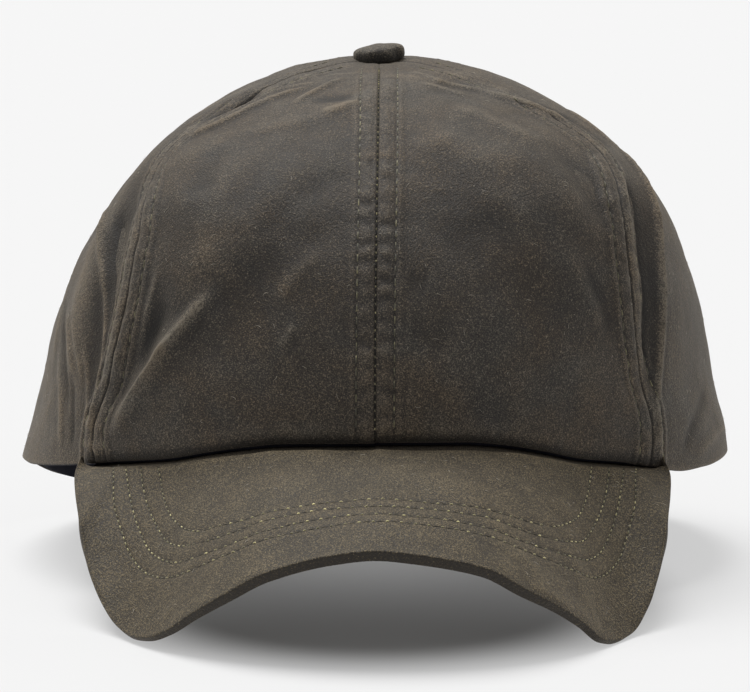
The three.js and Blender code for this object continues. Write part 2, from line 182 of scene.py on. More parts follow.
# Creases. Columns: azimuth and height share of the start, middle and end, half width and push in millimetres.
CREASES = np.array([
    # Left front panel
    (-57, 0.815, -49.5, 0.852, -44.8, 0.893, 1.5, 1.25), (-47, 0.87, -43, 0.906, -34, 0.948, 1.5, 1.15),
    (-31, 0.895, -28.5, 0.928, -20, 0.97, 1.3, 0.9), (-46.5, 0.932, -40, 0.944, -31, 0.95, 1.3, 0.5),
    (-27, 0.908, -18, 0.912, -9, 0.913, 2.4, -0.6), (-20, 0.878, -13, 0.89, -7, 0.902, 1.4, 0.6),
    (-38, 0.966, -26, 0.97, -14, 0.971, 1.6, 0.35), (-42, 0.905, -32, 0.885, -20, 0.86, 4, 0.25),
    (-6, 0.86, -21, 0.69, -33, 0.48, 5.5, 0.6), (-42, 0.817, -39.5, 0.747, -38, 0.663, 5, -0.7),
    (-36, 0.793, -32.5, 0.637, -34, 0.447, 4.5, 0.6), (-7, 0.677, -20, 0.585, -30.5, 0.459, 5, 0.7),
    (-28.5, 0.45, -34.5, 0.34, -39, 0.262, 1.8, 0.8), (-34.5, 0.335, -39.5, 0.238, -46, 0.1, 1.2, 1),
    (-16, 0.563, -23, 0.457, -30, 0.377, 5, -0.65), (-15, 0.65, -23, 0.56, -27, 0.47, 4.5, -0.6),
    (-38, 0.481, -40.5, 0.337, -41.5, 0.228, 3, -0.8), (-13.5, 0.344, -14.5, 0.312, -16, 0.275, 1.2, 0.35),
    (-10, 0.554, -14.5, 0.465, -18, 0.392, 2.4, 0.4), (-41, 0.52, -42, 0.4, -44, 0.25, 1.2, 0.45),
    (-52, 0.062, -49.5, 0.035, -47.5, 0.013, 0.9, 0.35),
    # Right front panel
    (45, 0.936, 52.5, 0.886, 60, 0.846, 1.4, 1.15), (25, 0.949, 37, 0.944, 49, 0.926, 1.3, 0.8),
    (20, 0.972, 27.5, 0.961, 32, 0.94, 1.6, 0.65), (17, 0.943, 27, 0.934, 37, 0.92, 1.6, 0.45),
    (41, 0.84, 42.5, 0.717, 41, 0.6, 5, -1.1), (10, 0.84, 20, 0.8, 29, 0.73, 6, 0.9),
    (24, 0.9, 32, 0.86, 40, 0.8, 3.5, 0.8), (27, 0.65, 18.5, 0.582, 10.5, 0.518, 6.5, -0.55),
    (33.5, 0.554, 37.5, 0.444, 39.5, 0.307, 2.6, 0.5), (35.5, 0.527, 39.5, 0.423, 41.5, 0.308, 2.6, -0.6),
    (5, 0.306, 8, 0.298, 13, 0.279, 4.5, -0.45), (5, 0.454, 7, 0.449, 9.5, 0.441, 4, -0.4),
    (41, 0.204, 43.5, 0.166, 45, 0.102, 2, 0.35),
    # Left side panel
    (-61.5, 0.83, -57.5, 0.885, -53, 0.93, 2.8, -1.6), (-72, 0.815, -66, 0.878, -59, 0.945, 1.6, 0.5),
    (-71.5, 0.66, -65.2, 0.585, -57.6, 0.465, 1.3, 1.1), (-61, 0.53, -55.9, 0.403, -52.9, 0.27, 1.2, 1),
    (-54.5, 0.35, -52.7, 0.216, -51.9, 0.06, 1.2, 0.8), (-63.5, 0.65, -58.4, 0.568, -54.5, 0.48, 2.4, -1.1),
    (-57, 0.54, -53.8, 0.44, -51.8, 0.34, 1.5, -0.8), (-71, 0.33, -64.4, 0.171, -59.5, 0.005, 1.1, 0.55),
    (-69.5, 0.4, -64.6, 0.32, -61, 0.225, 1.1, 0.5), (-64.5, 0.385, -60.4, 0.295, -57.5, 0.195, 0.9, 0.5),
    (-59.5, 0.32, -56, 0.205, -53.5, 0.08, 1, 0.55), (-74, 0.42, -66.4, 0.295, -60.5, 0.12, 1, -0.6),
    (-62.5, 0.25, -59, 0.14, -56.5, 0.02, 1, -0.5), (-85, 0.56, -76, 0.42, -71, 0.2, 2.2, 0.5),
    # Right side panel
    (62, 0.905, 65.5, 0.849, 60.5, 0.765, 2.4, -0.8), (80, 0.875, 74, 0.834, 67, 0.765, 1.4, 0.8),
    (61.5, 0.767, 53, 0.699, 51.5, 0.641, 1.3, 0.6), (73, 0.8, 64, 0.695, 58.5, 0.56, 1.2, 1.2),
    (62, 0.66, 57, 0.5, 53.8, 0.33, 1.1, 1.3), (55.8, 0.44, 53.2, 0.27, 50.2, 0.13, 1.1, 1.1),
    (51.3, 0.18, 50.3, 0.09, 51.9, -0.01, 1, 0.6), (57.5, 0.75, 53.4, 0.6, 51.5, 0.45, 1.8, -1.2),
    (52.4, 0.54, 51, 0.4, 49.6, 0.23, 1.2, -1), (88, 0.075, 72, 0.07, 61, 0.02, 2, 0.45),
    (75, 0.2, 64, 0.125, 57, 0.03, 2.2, -0.5), (100, 0.94, 91, 0.74, 86, 0.5, 13, -1.5),
    # Back panels and the sides' rear halves, out of the photograph's sight
    (-150, 0.8, -142, 0.55, -152, 0.3, 5, 0.6), (148, 0.78, 158, 0.5, 143, 0.25, 5, -0.6),
    (-112, 0.56, -104, 0.35, -109, 0.15, 3.5, 0.55), (110, 0.6, 101, 0.38, 108, 0.14, 3.5, 0.55),
    (-126, 0.45, -130, 0.3, -124, 0.12, 2.5, -0.5), (127, 0.5, 131, 0.32, 125, 0.15, 2.5, 0.5),
    (168, 0.35, 160, 0.22, 166, 0.08, 3, 0.45), (-166, 0.42, -172, 0.26, -165, 0.1, 3, -0.45),
])

# Painted shade in troughs and painted highlights along ridges and outlines. Columns: azimuth and height share
# of the start, middle and end, half width, paleness.
PAINTED_LIGHT_AND_SHADE = np.array([
    (-76, 0.835, -66, 0.888, -58, 0.94, 2.6, -2.2), (61, 0.93, 65.5, 0.888, 70, 0.835, 2.2, -2.2),
    (-70, 0.78, -60.5, 0.63, -55.5, 0.48, 4.5, -0.9), (58, 0.8, 54.5, 0.64, 51.5, 0.42, 2.6, -0.7),
    (-96, 0.82, -84, 0.885, -68, 0.955, 2, 1.6), (84, 0.93, 90, 0.85, 96, 0.74, 2.5, 1.2),
    (-98, 0.72, -90, 0.54, -82, 0.33, 3, 1), (92, 0.62, 88, 0.42, 84, 0.15, 3, 0.6),
    (-24, 0.913, -17, 0.916, -10, 0.913, 2.2, -0.9), (-50, 0.87, -44, 0.885, -36, 0.9, 3.5, -0.6),
    (-22, 0.88, -14, 0.893, -8, 0.905, 1.5, 0.8), (6, 0.965, 16, 0.96, 26, 0.95, 1.6, 0.9),
    (30, 0.8, 38, 0.76, 44, 0.69, 6, -0.6), (10, 0.73, 15, 0.62, 12, 0.5, 8, -0.45),
    (-30, 0.62, -32.5, 0.5, -34, 0.38, 3.5, 0.6), (-12, 0.8, -20, 0.76, -30, 0.7, 5, -0.4),
])

# The peak's outer edge. Columns: share of its length, across, forward, then the height left and right.
PEAK_EDGE = np.array([
    (0, 0, 1, 1, 1), (0.07, 0.14, 0.99, 0.957, 0.962), (0.178, 0.349, 0.922, 0.785, 0.828),
    (0.257, 0.476, 0.841, 0.58, 0.624), (0.328, 0.578, 0.749, 0.39, 0.453),
    (0.397, 0.666, 0.645, 0.2, 0.262), (0.45, 0.73, 0.552, 0.105, 0.092), (0.5, 0.783, 0.45, 0.075, 0.04),
    (0.55, 0.829, 0.346, 0.115, 0.06), (0.6, 0.872, 0.246, 0.22, 0.18), (0.655, 0.91, 0.137, 0.37, 0.37),
    (0.72, 0.942, 0.017, 0.577, 0.577), (0.8, 0.971, -0.138, 0.853, 0.84), (0.87, 0.99, -0.308, 0.99, 0.96),
    (0.94, 0.998, -0.454, 1.085, 1.07), (1, 0.984, -0.566, 1.2, 1.19),
])

# How far the hem is drawn up above its plain line. Columns: azimuth, millimetres.
HEM_LIFTS = np.array([
    (-180, 0), (-130, 0), (-113, 1.1), (-104, 1.5), (-92, 1.9), (-85, 1.9), (-75, 1.3), (-67, 1.1),
    (-58, 0.3), (-50, 0), (40, 0), (56, -1.5), (66, 0.1), (84, 2.1), (100, 1.5), (120, 0), (180, 0),
])

# The button's outline from its underside to its middle. Columns: share of its radius, millimetres up.
BUTTON_PROFILE = np.array([
    (0.3, -2.4), (0.6, -2.3), (0.84, -2), (0.95, -1.4), (0.99, -0.4), (1, 0.8), (0.985, 1.4),
    (0.95, 1.9), (0.87, 2.32), (0.75, 2.62), (0.58, 2.84), (0.4, 2.95), (0.2, 3), (0, 3.02),
])

# Where on the hem each place of the peak's edge is carried to. Columns: shares of the edge and of PEAK_ANGLE.
PEAK_ROOTS = np.array([(0, 0), (0.2, 0.28), (0.4, 0.55), (0.6, 0.72), (0.8, 0.83), (1, 1)])

# The peak's four stitch rows, inner one first. Columns: place from the middle, share of the way out.
PEAK_ROWS = [
    np.array([(0, 0.600), (0.078, 0.597), (0.201, 0.580), (0.286, 0.557), (0.339, 0.540),
              (0.376, 0.497), (0.45, 0.347), (0.539, 0.040), (0.55, 0.0), (0.62, -0.3)]),
    np.array([(0, 0.670), (0.076, 0.657), (0.246, 0.633), (0.329, 0.617), (0.380, 0.587),
              (0.429, 0.533), (0.491, 0.407), (0.559, 0.257), (0.633, 0.040), (0.645, 0.0), (0.72, -0.3)]),
    np.array([(0, 0.740), (0.075, 0.727), (0.209, 0.717), (0.304, 0.697), (0.387, 0.667),
              (0.438, 0.623), (0.488, 0.567), (0.546, 0.467), (0.619, 0.320), (0.745, 0.057),
              (0.765, 0.0), (0.84, -0.3)]),
    np.array([(0, 0.797), (0.074, 0.790), (0.237, 0.773), (0.300, 0.760), (0.389, 0.740),
              (0.448, 0.710), (0.494, 0.680), (0.561, 0.620), (0.617, 0.540), (0.709, 0.423),
              (0.826, 0.090), (0.85, 0.0), (0.93, -0.3)]),
]


def smooth(table, column, at, level_start=False):
    """Smooth value of a table's column by its first one: cubics between the rows, whose slope at each row
    is the harmonic mean of the slopes beside it, so they never overshoot. The first slope can be level."""
    xs, ys = table[:, 0].astype(float), table[:, column].astype(float)
    x = np.clip(np.asarray(at, float), xs[0], xs[-1])
    slopes = np.diff(ys) / np.diff(xs)
    same_way = slopes[:-1] * slopes[1:] > 0
    total = np.where(same_way, slopes[:-1] + slopes[1:], 1.0)
    inner = np.where(same_way, 2 * slopes[:-1] * slopes[1:] / total, 0.0)
    tangents = np.concatenate([slopes[:1] * (not level_start), inner, slopes[-1:]])
    i = np.clip(np.searchsorted(xs, x, side="right") - 1, 0, len(xs) - 2)
    step = xs[i + 1] - xs[i]
    t = (x - xs[i]) / step
    start = (2 * t**3 - 3 * t**2 + 1) * ys[i] + (t**3 - 2 * t**2 + t) * step * tangents[i]
    return start + (3 * t**2 - 2 * t**3) * ys[i + 1] + (t**3 - t**2) * step * tangents[i + 1]


def ease(low, high, value):
    """0 below low, 1 above high, and 3t^2 - 2t^3 between them."""
    t = np.clip((value - low) / (high - low), 0, 1)
    return t * t * (3 - 2 * t)


def bell(value, centre, width):
    """1 at the centre and e to the power -((value - centre) / width)^2 beside it."""
    return np.exp(-(((value - centre) / width) ** 2))


def run_length(line):
    """Millimetres along a line of points, from its first one to each."""
    return np.concatenate([[0], np.cumsum(np.linalg.norm(np.diff(line, axis=0), axis=1))])


def unit(vectors):
    """Each vector divided by its length."""
    return vectors / np.maximum(np.linalg.norm(vectors, axis=-1, keepdims=True), 1e-9)


def waves(points, size, seed, count=28):
    """A soft random field of about unit strength: the sum of many cosines in random directions, with
    wavelengths near size millimetres."""
    rng = np.random.default_rng(seed)
    directions = unit(rng.normal(size=(count, 3)))
    lengths = size * rng.uniform(0.7, 1.5, (count, 1))
    phases = rng.uniform(0, 2 * np.pi, count)
    return np.cos(points @ (2 * np.pi * directions / lengths).T + phases).sum(-1) * np.sqrt(2 / count)


def soft_waves(points, table):
    """Push of several fields of waves, from rows of push, size and seed."""
    return sum(push * waves(points, size, seed) for push, size, seed in table)


def reach(height, column):
    """A section's reach by height share, even over the round top because it goes by the root of the way
    down."""
    return smooth(ROUND_SECTIONS, column, -np.sqrt(np.clip(1 - np.asarray(height, float), 0, 1)))


def hem_height(azimuth):
    """Height of the hem: the left or right column of its table, times the front's lift."""
    turn = np.abs(azimuth)
    return FRONT_LIFT * np.where(azimuth < 0, smooth(HEM, 1, turn), smooth(HEM, 2, turn))


def plain_crown(azimuth, height):
    """The crown before its folds: at each height share a section that is an ellipse at the back and squarer
    in front, on a level that goes evenly from the hem to the top, less a dip under the button."""
    azimuth, height = np.broadcast_arrays(np.asarray(azimuth, float), np.asarray(height, float))
    s, c = np.sin(np.radians(azimuth)), np.cos(np.radians(azimuth))
    power = np.where(c > 0, smooth(SQUARENESS, 1, height), 2.0)
    radius = (np.abs(s) ** power + np.abs(c) ** power) ** (-1 / power)
    x = RIM_HALF_WIDTH * np.where(s < 0, reach(height, 1), reach(height, 2)) * radius * s
    front, back = RIM_FRONT_REACH * reach(height, 3), RIM_BACK_REACH * reach(height, 4)
    y = -np.where(c > 0, front, back) * radius * c
    dip = BUTTON_DIP * bell(np.hypot(x, y), 0, BUTTON_DIP_RADIUS)
    z = hem_height(azimuth) * (1 - height) + CROWN_HEIGHT * height - dip
    return np.stack([x + CROWN_LEAN * height**2, y, z], -1)


def crown_frame(azimuth, height):
    """The crown's point, its outward direction, and the millimetres in one degree round it, from short
    steps both ways."""
    around = plain_crown(azimuth + 0.5, height) - plain_crown(azimuth - 0.5, height)
    upper, lower = np.minimum(height + 0.004, 1), np.maximum(height - 0.004, 0)
    up = plain_crown(azimuth, upper) - plain_crown(azimuth, lower)
    return plain_crown(azimuth, height), unit(np.cross(around, up)), np.linalg.norm(around, axis=-1)


def seam_azimuth(index, height):
    """Azimuth of a seam by its number from the centre back, past the left and the front, to the centre back
    again."""
    centre, flat = 0.0 * np.asarray(height, float), [-180.0, None, None, 0.0, None, None, 180.0]
    if flat[index] is not None:
        return centre + flat[index]
    column, side = {1: (3, -1), 2: (1, -1), 4: (2, 1), 5: (3, 1)}[index]
    return side * smooth(SEAMS, column, height)


def large_folds(azimuth, height):
    """Push of the large folds: each is a rounded ridge or valley across a straight line from its lower to
    its upper end, fading past both."""
    push = np.zeros(np.broadcast(azimuth, height).shape)
    for low, low_azimuth, high, high_azimuth, width, depth in FOLDS:
        share = (height - low) / (high - low)
        path = low_azimuth + (high_azimuth - low_azimuth) * share
        radius = RIM_HALF_WIDTH * reach(height, 1)
        across = np.radians(azimuth - path) * radius / (width * FOLD_WIDTH)
        fade = ease(-0.25, 0.2, share) * (1 - ease(0.8, 1.25, share))
        push = push + depth * FOLD_DEPTH * fade * bell(across, 0, 1)
    return push


def along_path(points, path):
    """Distance of each point from a path, and its share along it, by the nearest of the path's short
    straight pieces."""
    start, step = path[:-1], np.diff(path, axis=0)
    rel = points[:, None, :] - start
    t = np.clip((rel * step).sum(-1) / (step * step).sum(-1), 0, 1)
    gaps = np.linalg.norm(rel - t[..., None] * step, axis=-1)
    nearest = gaps.argmin(1)
    pick = np.arange(len(points)), nearest
    return gaps[pick], (nearest + t[pick]) / len(step)


def small_creases(points):
    """Push of the small creases, and how pale or dark the cloth is drawn on them: each follows a curve
    through three places on the crown, with a rounded profile that is highest in the middle of its length,
    with a narrow broken pale line of rubbed wax where it is sharp and painted shade where it is hollow.
    Painted shade and painted highlights follow such curves too, without any push."""
    push, pale = np.zeros(len(points)), np.zeros(len(points))
    broken = np.clip(0.75 + 0.45 * waves(points, 5, 26), 0, 1.5)
    s = np.linspace(0, 1, 13)
    blend = np.stack([(1 - s) * (1 - 2 * s), 4 * s * (1 - s), s * (2 * s - 1)])
    for number, (a0, h0, a1, h1, a2, h2, width, height) in enumerate(np.concatenate([CREASES, PAINTED_LIGHT_AND_SHADE])):
        path = plain_crown(np.array([a0, a1, a2]) @ blend, np.array([h0, h1, h2]) @ blend)
        near = np.all((points > path.min(0) - 4 * width) & (points < path.max(0) + 4 * width), axis=1)
        if near.any():
            gap, share = along_path(points[near], path)
            fade = ease(0, 0.3, share) * (1 - ease(0.7, 1, share))
            # Rows of the second table are only painted shade and painted highlights.
            if number >= len(CREASES):
                pale[near] += height * fade * bell(gap, 0, width)
                continue
            push[near] += height * fade * bell(gap, 0, width)
            sharp = np.clip((SHARP_CREASE - width) / 1.5, 0, 1) * bell(gap, 0, 0.3 * width + 0.15)
            pale[near] += CREASE_PALENESS * height * fade * sharp * broken[near]
            # Hollow creases get painted shade.
            dark = CREASE_PAINTED_SHADE * min(height, 0) * np.clip((BROAD_CREASE - width) / 2, 0, 1)
            pale[near] += dark * fade * bell(gap, 0, 1.2 * width)
    return push, pale


def seam_lean(index, height, per_degree):
    """How much longer a level step from a seam is than one square to it: the root of 1 + its slope
    squared."""
    step = 0.01
    slope = (seam_azimuth(index, height + step) - seam_azimuth(index, height - step)) * per_degree
    return np.sqrt(1 + (slope / (2 * step * CROWN_HEIGHT)) ** 2)


def seam_distance(azimuth, height, per_degree):
    """Millimetres to the nearest seam, measured square to it, and that seam's number with its side."""
    best, side = np.full(azimuth.shape, 1e9), np.zeros(azimuth.shape)
    for index in range(7):
        line = seam_azimuth(index, height)
        gap = (azimuth - line) * per_degree / seam_lean(index, height, per_degree)
        nearer = np.abs(gap) < best
        best = np.where(nearer, np.abs(gap), best)
        side = np.where(nearer, 2 * index + (gap > 0), side)
    return best, side


def down_length(height):
    """Millimetres from the crown's top down its front line, by height share."""
    down = np.linspace(0, 1, 200)
    return np.interp(np.sqrt(np.clip(1 - height, 0, 1)), down, run_length(plain_crown(0.0, 1 - down**2)))


def seam_relief(gap, side, points):
    """Push beside a seam, by distance from it: a narrow groove at the seam, a soft ridge of folded cloth, a
    fine groove under the topstitch, the step where the allowance ends, and puckers that run across."""
    groove = -np.where(np.isin(side, CENTRE_FRONT_SIDES), 0.35, 0.75) * bell(gap, 0, 0.38)
    full = np.isin(side, FRONT_SEAM_SIDES)
    ridge = 0.32 * bell(gap, 2.2, 1.4) + 0.14 * full * bell(gap, 6.1, 0.9)
    stitched = -(0.20 + 0.15 * full) * bell(gap, TOPSTITCH_OFFSET, 0.5)
    allowance = 0.30 * (1 - ease(5.4, 7.4, gap))
    moved = points + side[:, None] * np.array([31.0, 17.0, 5.0])
    pucker = waves(moved * np.array([0.35, 0.35, 1.0]), 5.2, 11) + 0.5 * waves(moved, 3.1, 12)
    strength = np.clip(gap / 1.5, 0, 1) * bell(gap, 0, 5.5) * (0.13 + 0.02 * full)
    return groove + ridge + stitched + allowance + pucker * strength


def centre_puckers(azimuth, height, gap):
    """Push of the level puckers that both topstitch rows draw up beside the centre front seam: a sine down
    the seam, highest between the seam and the row."""
    down = down_length(height)
    uneven = 0.75 + 0.45 * np.sin(down / 7.3 + 1.7 * (azimuth > 0)) * np.sin(down / 3.1)
    strength = (0.05 + 0.16 * ease(0.14, 0.26, height) * (1 - ease(0.64, 0.76, height))) * uneven
    across = bell(gap, PUCKER_PLACE, PUCKER_PLACE) * ease(0, 1.0, gap)
    phase = 2 * np.pi * down / PUCKER_LENGTH + 1.6 * np.sin(down / 9) + 0.25 * np.sin(azimuth)
    return np.where(np.abs(azimuth) < 20, strength * across * np.sin(phase), 0)


def front_hem(azimuth, above_hem):
    """How the hem turns in over the peak: the inward push and the rise, both growing as the square of the
    way down to it. Both are less towards the ends of the peak, where the hem lies down on it."""
    in_front = (1 - ease(44, 54, np.abs(azimuth))) * (1 - HEM_LIES_DOWN * ease(14, 32, np.abs(azimuth)))
    push = in_front * HEM_TURN_IN * np.clip(1 - above_hem / TURN_IN_HEIGHT, 0, 1) ** 2
    return push, in_front * HEM_STAND_OFF * np.clip(1 - above_hem / STAND_OFF_HEIGHT, 0, 1) ** 2


def hem_lift(azimuth, above_hem):
    """How far the cloth is drawn up, fading out above the hem."""
    return smooth(HEM_LIFTS, 1, azimuth) * (1 - ease(0, LIFT_FADE, above_hem))


def crown_surface(azimuth, height):
    """The crown's outer face: the plain form pushed out by folds, creases, soft waves, seams and the rolled
    hem. Returns points, outward directions, the push and the paleness, which holds rubbed wax and painted
    light and shade."""
    shape = np.broadcast(azimuth, height).shape
    azimuth, height = (np.broadcast_to(v, shape).ravel().astype(float) for v in (azimuth, height))
    point, out, per_degree = crown_frame(azimuth, height)
    gap, side = seam_distance(azimuth, height, per_degree)
    above_hem = point[:, 2] - hem_height(azimuth)
    creased, pale = small_creases(point)
    push = large_folds(azimuth, height) + creased
    open_cloth = ease(3, 9, gap) * ease(1, 8, above_hem)
    push += soft_waves(point, CROWN_WAVES) * (0.35 + 0.65 * open_cloth)
    at_button = ease(*BUTTON_SURROUND, height)
    push += seam_relief(gap, side, point) * (1 - 0.75 * at_button) + centre_puckers(azimuth, height, gap)
    push -= FRONT_TOP_DROP * at_button * ease(0.2, 0.9, np.cos(np.radians(azimuth)))
    full = np.isin(side, FRONT_SEAM_SIDES)
    rubbed = bell(gap, TOPSTITCH_OFFSET - 0.7, 0.35) + 0.7 * bell(gap, 0.8, 0.3)
    pale += RUBBED_PALENESS * rubbed * full * np.clip(0.6 + 0.5 * waves(point, 6, 27), 0, 1.4)
    # Painted light towards the top and painted shade at mid height.
    middle = ease(0.2, 0.4, height) * (1 - ease(0.65, 0.8, height))
    pale += TOP_PAINTED_LIGHT * (ease(0.80, 0.93, height) - middle) - SEAM_DARKNESS * bell(gap, 0, 0.45) * full
    turned_in, raised = front_hem(azimuth, above_hem)
    roll = np.clip(1 - above_hem / HEM_ROUND, 0, 1)
    push -= turned_in + TOP_DROP * ease(0.88, 0.97, height) + HEM_ROUND * (1 - np.sqrt(1 - roll**2))
    point = point + out * push[:, None]
    point[:, 2] += hem_lift(azimuth, above_hem) + raised
    return point.reshape(*shape, 3), out.reshape(*shape, 3), push.reshape(shape), pale.reshape(shape)


def crown_heights(azimuth, rows):
    """Height shares of a panel's rows along its middle line, with closer rows at the rolled hem."""
    down = np.linspace(TOP_HOLE_RADIUS / (RIM_HALF_WIDTH * TOP_ROUNDNESS), 1, 400)
    length = run_length(plain_crown(azimuth, 1 - down**2))
    share = np.linspace(0, 1, rows)
    share = 0.2 * share + 0.8 * (1 - (1 - share) ** HEM_ROW_CLOSENESS)
    return 1 - np.interp(share * length[-1], length, down) ** 2


def make_mesh(name, points, quads, triangles=None, attributes=None, uv=None):
    """A mesh object at the origin from arrays of points in millimetres and of faces, with float attributes
    and a UV map by point. What would sink into the floor is pressed flat on it."""
    triangles = np.zeros((0, 3), int) if triangles is None else triangles
    mesh = bpy.data.meshes.new(name)
    corners = np.concatenate([quads.ravel(), triangles.ravel()]).astype(np.int32)
    sizes = np.concatenate([np.full(len(quads), 4), np.full(len(triangles), 3)])
    starts = np.concatenate([[0], np.cumsum(sizes)[:-1]]).astype(np.int32)
    mesh.vertices.add(len(points))
    mesh.loops.add(len(corners))
    mesh.polygons.add(len(sizes))
    placed = (points + AXIS_TO_ORIGIN) * METRES
    placed[:, 2] = np.maximum(placed[:, 2], 0)
    mesh.vertices.foreach_set("co", placed.astype(np.float32).ravel())
    mesh.loops.foreach_set("vertex_index", corners)
    mesh.polygons.foreach_set("loop_start", starts)
    mesh.polygons.foreach_set("use_smooth", np.ones(len(sizes), bool))
    for key, values in (attributes or {}).items():
        layer = mesh.attributes.new(key, "FLOAT", "POINT")
        layer.data.foreach_set("value", values.astype(np.float32))
    if uv is not None:
        layer = mesh.uv_layers.new(name="cloth")
        layer.data.foreach_set("uv", uv[corners].astype(np.float32).ravel())
    mesh.update(calc_edges=True)
    mesh.validate()
    obj = bpy.data.objects.new(name, mesh)
    bpy.context.scene.collection.objects.link(obj)
    return obj


def grid_quads(rows, columns, start=0, closed=False):
    """The quads of a grid of points that are numbered row by row. A closed grid joins its last column to
    its first."""
    r, c = np.meshgrid(np.arange(rows - 1), np.arange(columns if closed else columns - 1), indexing="ij")
    following = (c + 1) % columns
    return start + np.stack([r * columns + c, r * columns + following, (r + 1) * columns + following,
                             (r + 1) * columns + c], -1).reshape(-1, 4)


def border(rows, columns):
    """Numbers of the points round a grid's border: along the first row, down the last column, back and up."""
    top = np.arange(columns - 1)
    right = np.arange(rows - 1) * columns + columns - 1
    bottom = (rows - 1) * columns + np.arange(columns - 1, 0, -1)
    left = np.arange(rows - 1, 0, -1) * columns
    return np.concatenate([top, right, bottom, left])


def join_borders(fine, coarse, ratio):
    """Triangles between two borders where one has ratio times the points of the other: each short edge fans
    to the nearer long point."""
    i = np.arange(len(fine))
    near = coarse[((i + ratio // 2) // ratio) % len(coarse)]
    fans = np.stack([fine[i], near, fine[(i + 1) % len(fine)]], -1)
    j = np.arange(len(coarse))
    middle = fine[(j * ratio + (ratio + 1) // 2) % len(fine)]
    long_edges = np.stack([coarse[j], coarse[(j + 1) % len(coarse)], middle], -1)
    return np.concatenate([fans, long_edges])


def blur(values, radius):
    """Values smoothed along both ways of a grid by a box of that many points each way."""
    for axis in (0, 1):
        pad = [(0, 0)] * values.ndim
        pad[axis] = (radius + 1, radius)
        sums = np.cumsum(np.pad(values, pad, mode="edge"), axis=axis)
        length = values.shape[axis]
        ahead = np.take(sums, np.arange(length) + 2 * radius + 1, axis=axis)
        behind = np.take(sums, np.arange(length), axis=axis)
        values = (ahead - behind) / (2 * radius + 1)
    return values


def wear_and_groove_shade(push):
    """How much a place stands out from the cloth beside it, at a small and a large scale: above 0 on ridges,
    which come out as paler rubbed wax, and below 0 in grooves, which come out darker as painted shade."""
    return np.clip(3.6 * (push - blur(push, 4)) + 0.8 * (push - blur(push, 14)), -3.0, 1.6)


def crown_panel(name, left, right, columns, rows, ratio):
    """One panel between two seams, as a wall: the outer face on a fine grid, the inner one on a coarse grid
    that is thicker along the seams, joined round their borders."""
    columns, rows = columns * ratio + 1, rows * ratio + 1
    middle = 0.5 * (seam_azimuth(left, 0.3) + seam_azimuth(right, 0.3))
    heights = crown_heights(middle, rows)[:, None]
    t = np.linspace(0, 1, columns)
    places = t - 0.1 * np.sin(2 * np.pi * t)
    start, end = seam_azimuth(left, heights), seam_azimuth(right, heights)
    per_degree = crown_frame(0.5 * (start + end), heights)[2]
    start, end = start + SEAM_GAP / per_degree, end - SEAM_GAP / per_degree
    azimuth = start + (end - start) * places
    outer, _, push, pale = crown_surface(azimuth, heights)
    wide = crown_frame(azimuth, heights + 0 * azimuth)[2]
    down = run_length(outer[:, columns // 2])
    uv = np.stack([(azimuth - 0.5 * (start + end)) * wide, down[:, None] + 0 * azimuth], -1)

    inner_azimuth, inner_height = azimuth[::ratio, ::ratio], (heights + 0 * azimuth)[::ratio, ::ratio]
    point, out, wide = crown_frame(inner_azimuth, inner_height)
    from_seam = np.minimum(inner_azimuth - start[::ratio], end[::ratio] - inner_azimuth) * wide
    depth = CLOTH + ALLOWANCE_DEPTH * (1 - ease(ALLOWANCE_WIDTH - 1, ALLOWANCE_WIDTH + 1, from_seam))
    inner_above = point[..., 2] - hem_height(inner_azimuth)
    turned_in, raised = front_hem(inner_azimuth, inner_above)
    inner = point + out * (large_folds(inner_azimuth, inner_height) - depth - turned_in)[..., None]
    inner[..., 2] += raised + hem_lift(inner_azimuth, inner_above)
    small_columns, small_rows = inner.shape[1], inner.shape[0]

    count = outer.size // 3
    quads = [grid_quads(rows, columns)[:, ::-1], grid_quads(small_rows, small_columns, count)]
    strip = join_borders(border(rows, columns), count + border(small_rows, small_columns), ratio)
    points = np.concatenate([outer.reshape(-1, 3), inner.reshape(-1, 3)])
    uvs = np.concatenate([uv.reshape(-1, 2), uv[::ratio, ::ratio].reshape(-1, 2)])
    # Painted shade on the front hem where it turns in over the peak.
    hem_painted_shade = HEM_PAINTED_SHADE * bell(outer[..., 2] - hem_height(azimuth), 0, 2) * (np.abs(azimuth) < PEAK_ANGLE)
    wear_and_painted_light = np.concatenate([(wear_and_groove_shade(push) + pale - hem_painted_shade).ravel(), np.zeros(inner.size // 3)])
    return make_mesh(name, points, np.concatenate(quads), strip, {"wear_and_painted_light": wear_and_painted_light}, uvs)


def root_azimuth(place):
    """Azimuth at which a place of the peak meets the hem."""
    return np.sign(place) * PEAK_ANGLE * smooth(PEAK_ROOTS, 1, np.abs(place))


def peak_root(place):
    """The hem line that the peak is sewn to, by place from -1 at the left to 1 at the right."""
    return plain_crown(root_azimuth(place), 0 * place)


def peak_edge(place):
    """The peak's outer edge, from its table's shares of the half width, the length and the front height."""
    share = np.abs(place)
    inset = RIGHT_EDGE_INSET * ease(0.6, 0.92, place)
    x = np.sign(place) * PEAK_HALF_WIDTH * smooth(PEAK_EDGE, 1, share) - inset
    y = -RIM_FRONT_REACH - PEAK_LENGTH * smooth(PEAK_EDGE, 2, share, True)
    left, right = smooth(PEAK_EDGE, 3, share, True), smooth(PEAK_EDGE, 4, share, True)
    return np.stack([x, y, PEAK_FRONT_HEIGHT * np.where(place < 0, left, right)], -1)


def plain_peak(place, out):
    """The peak's upper face: straight lines from the hem to the edge, bowed up a little in their middles."""
    place, out = np.broadcast_arrays(np.asarray(place, float), np.asarray(out, float))
    root, edge = peak_root(place), peak_edge(place)
    length = np.linalg.norm(edge - root, axis=-1)
    point = root + (edge - root) * out[..., None]
    point[..., 2] += PEAK_BOW * 4 * out * (1 - out) * (length / PEAK_LENGTH) ** 2 - SEAT_GAP * (1 - out)
    return point


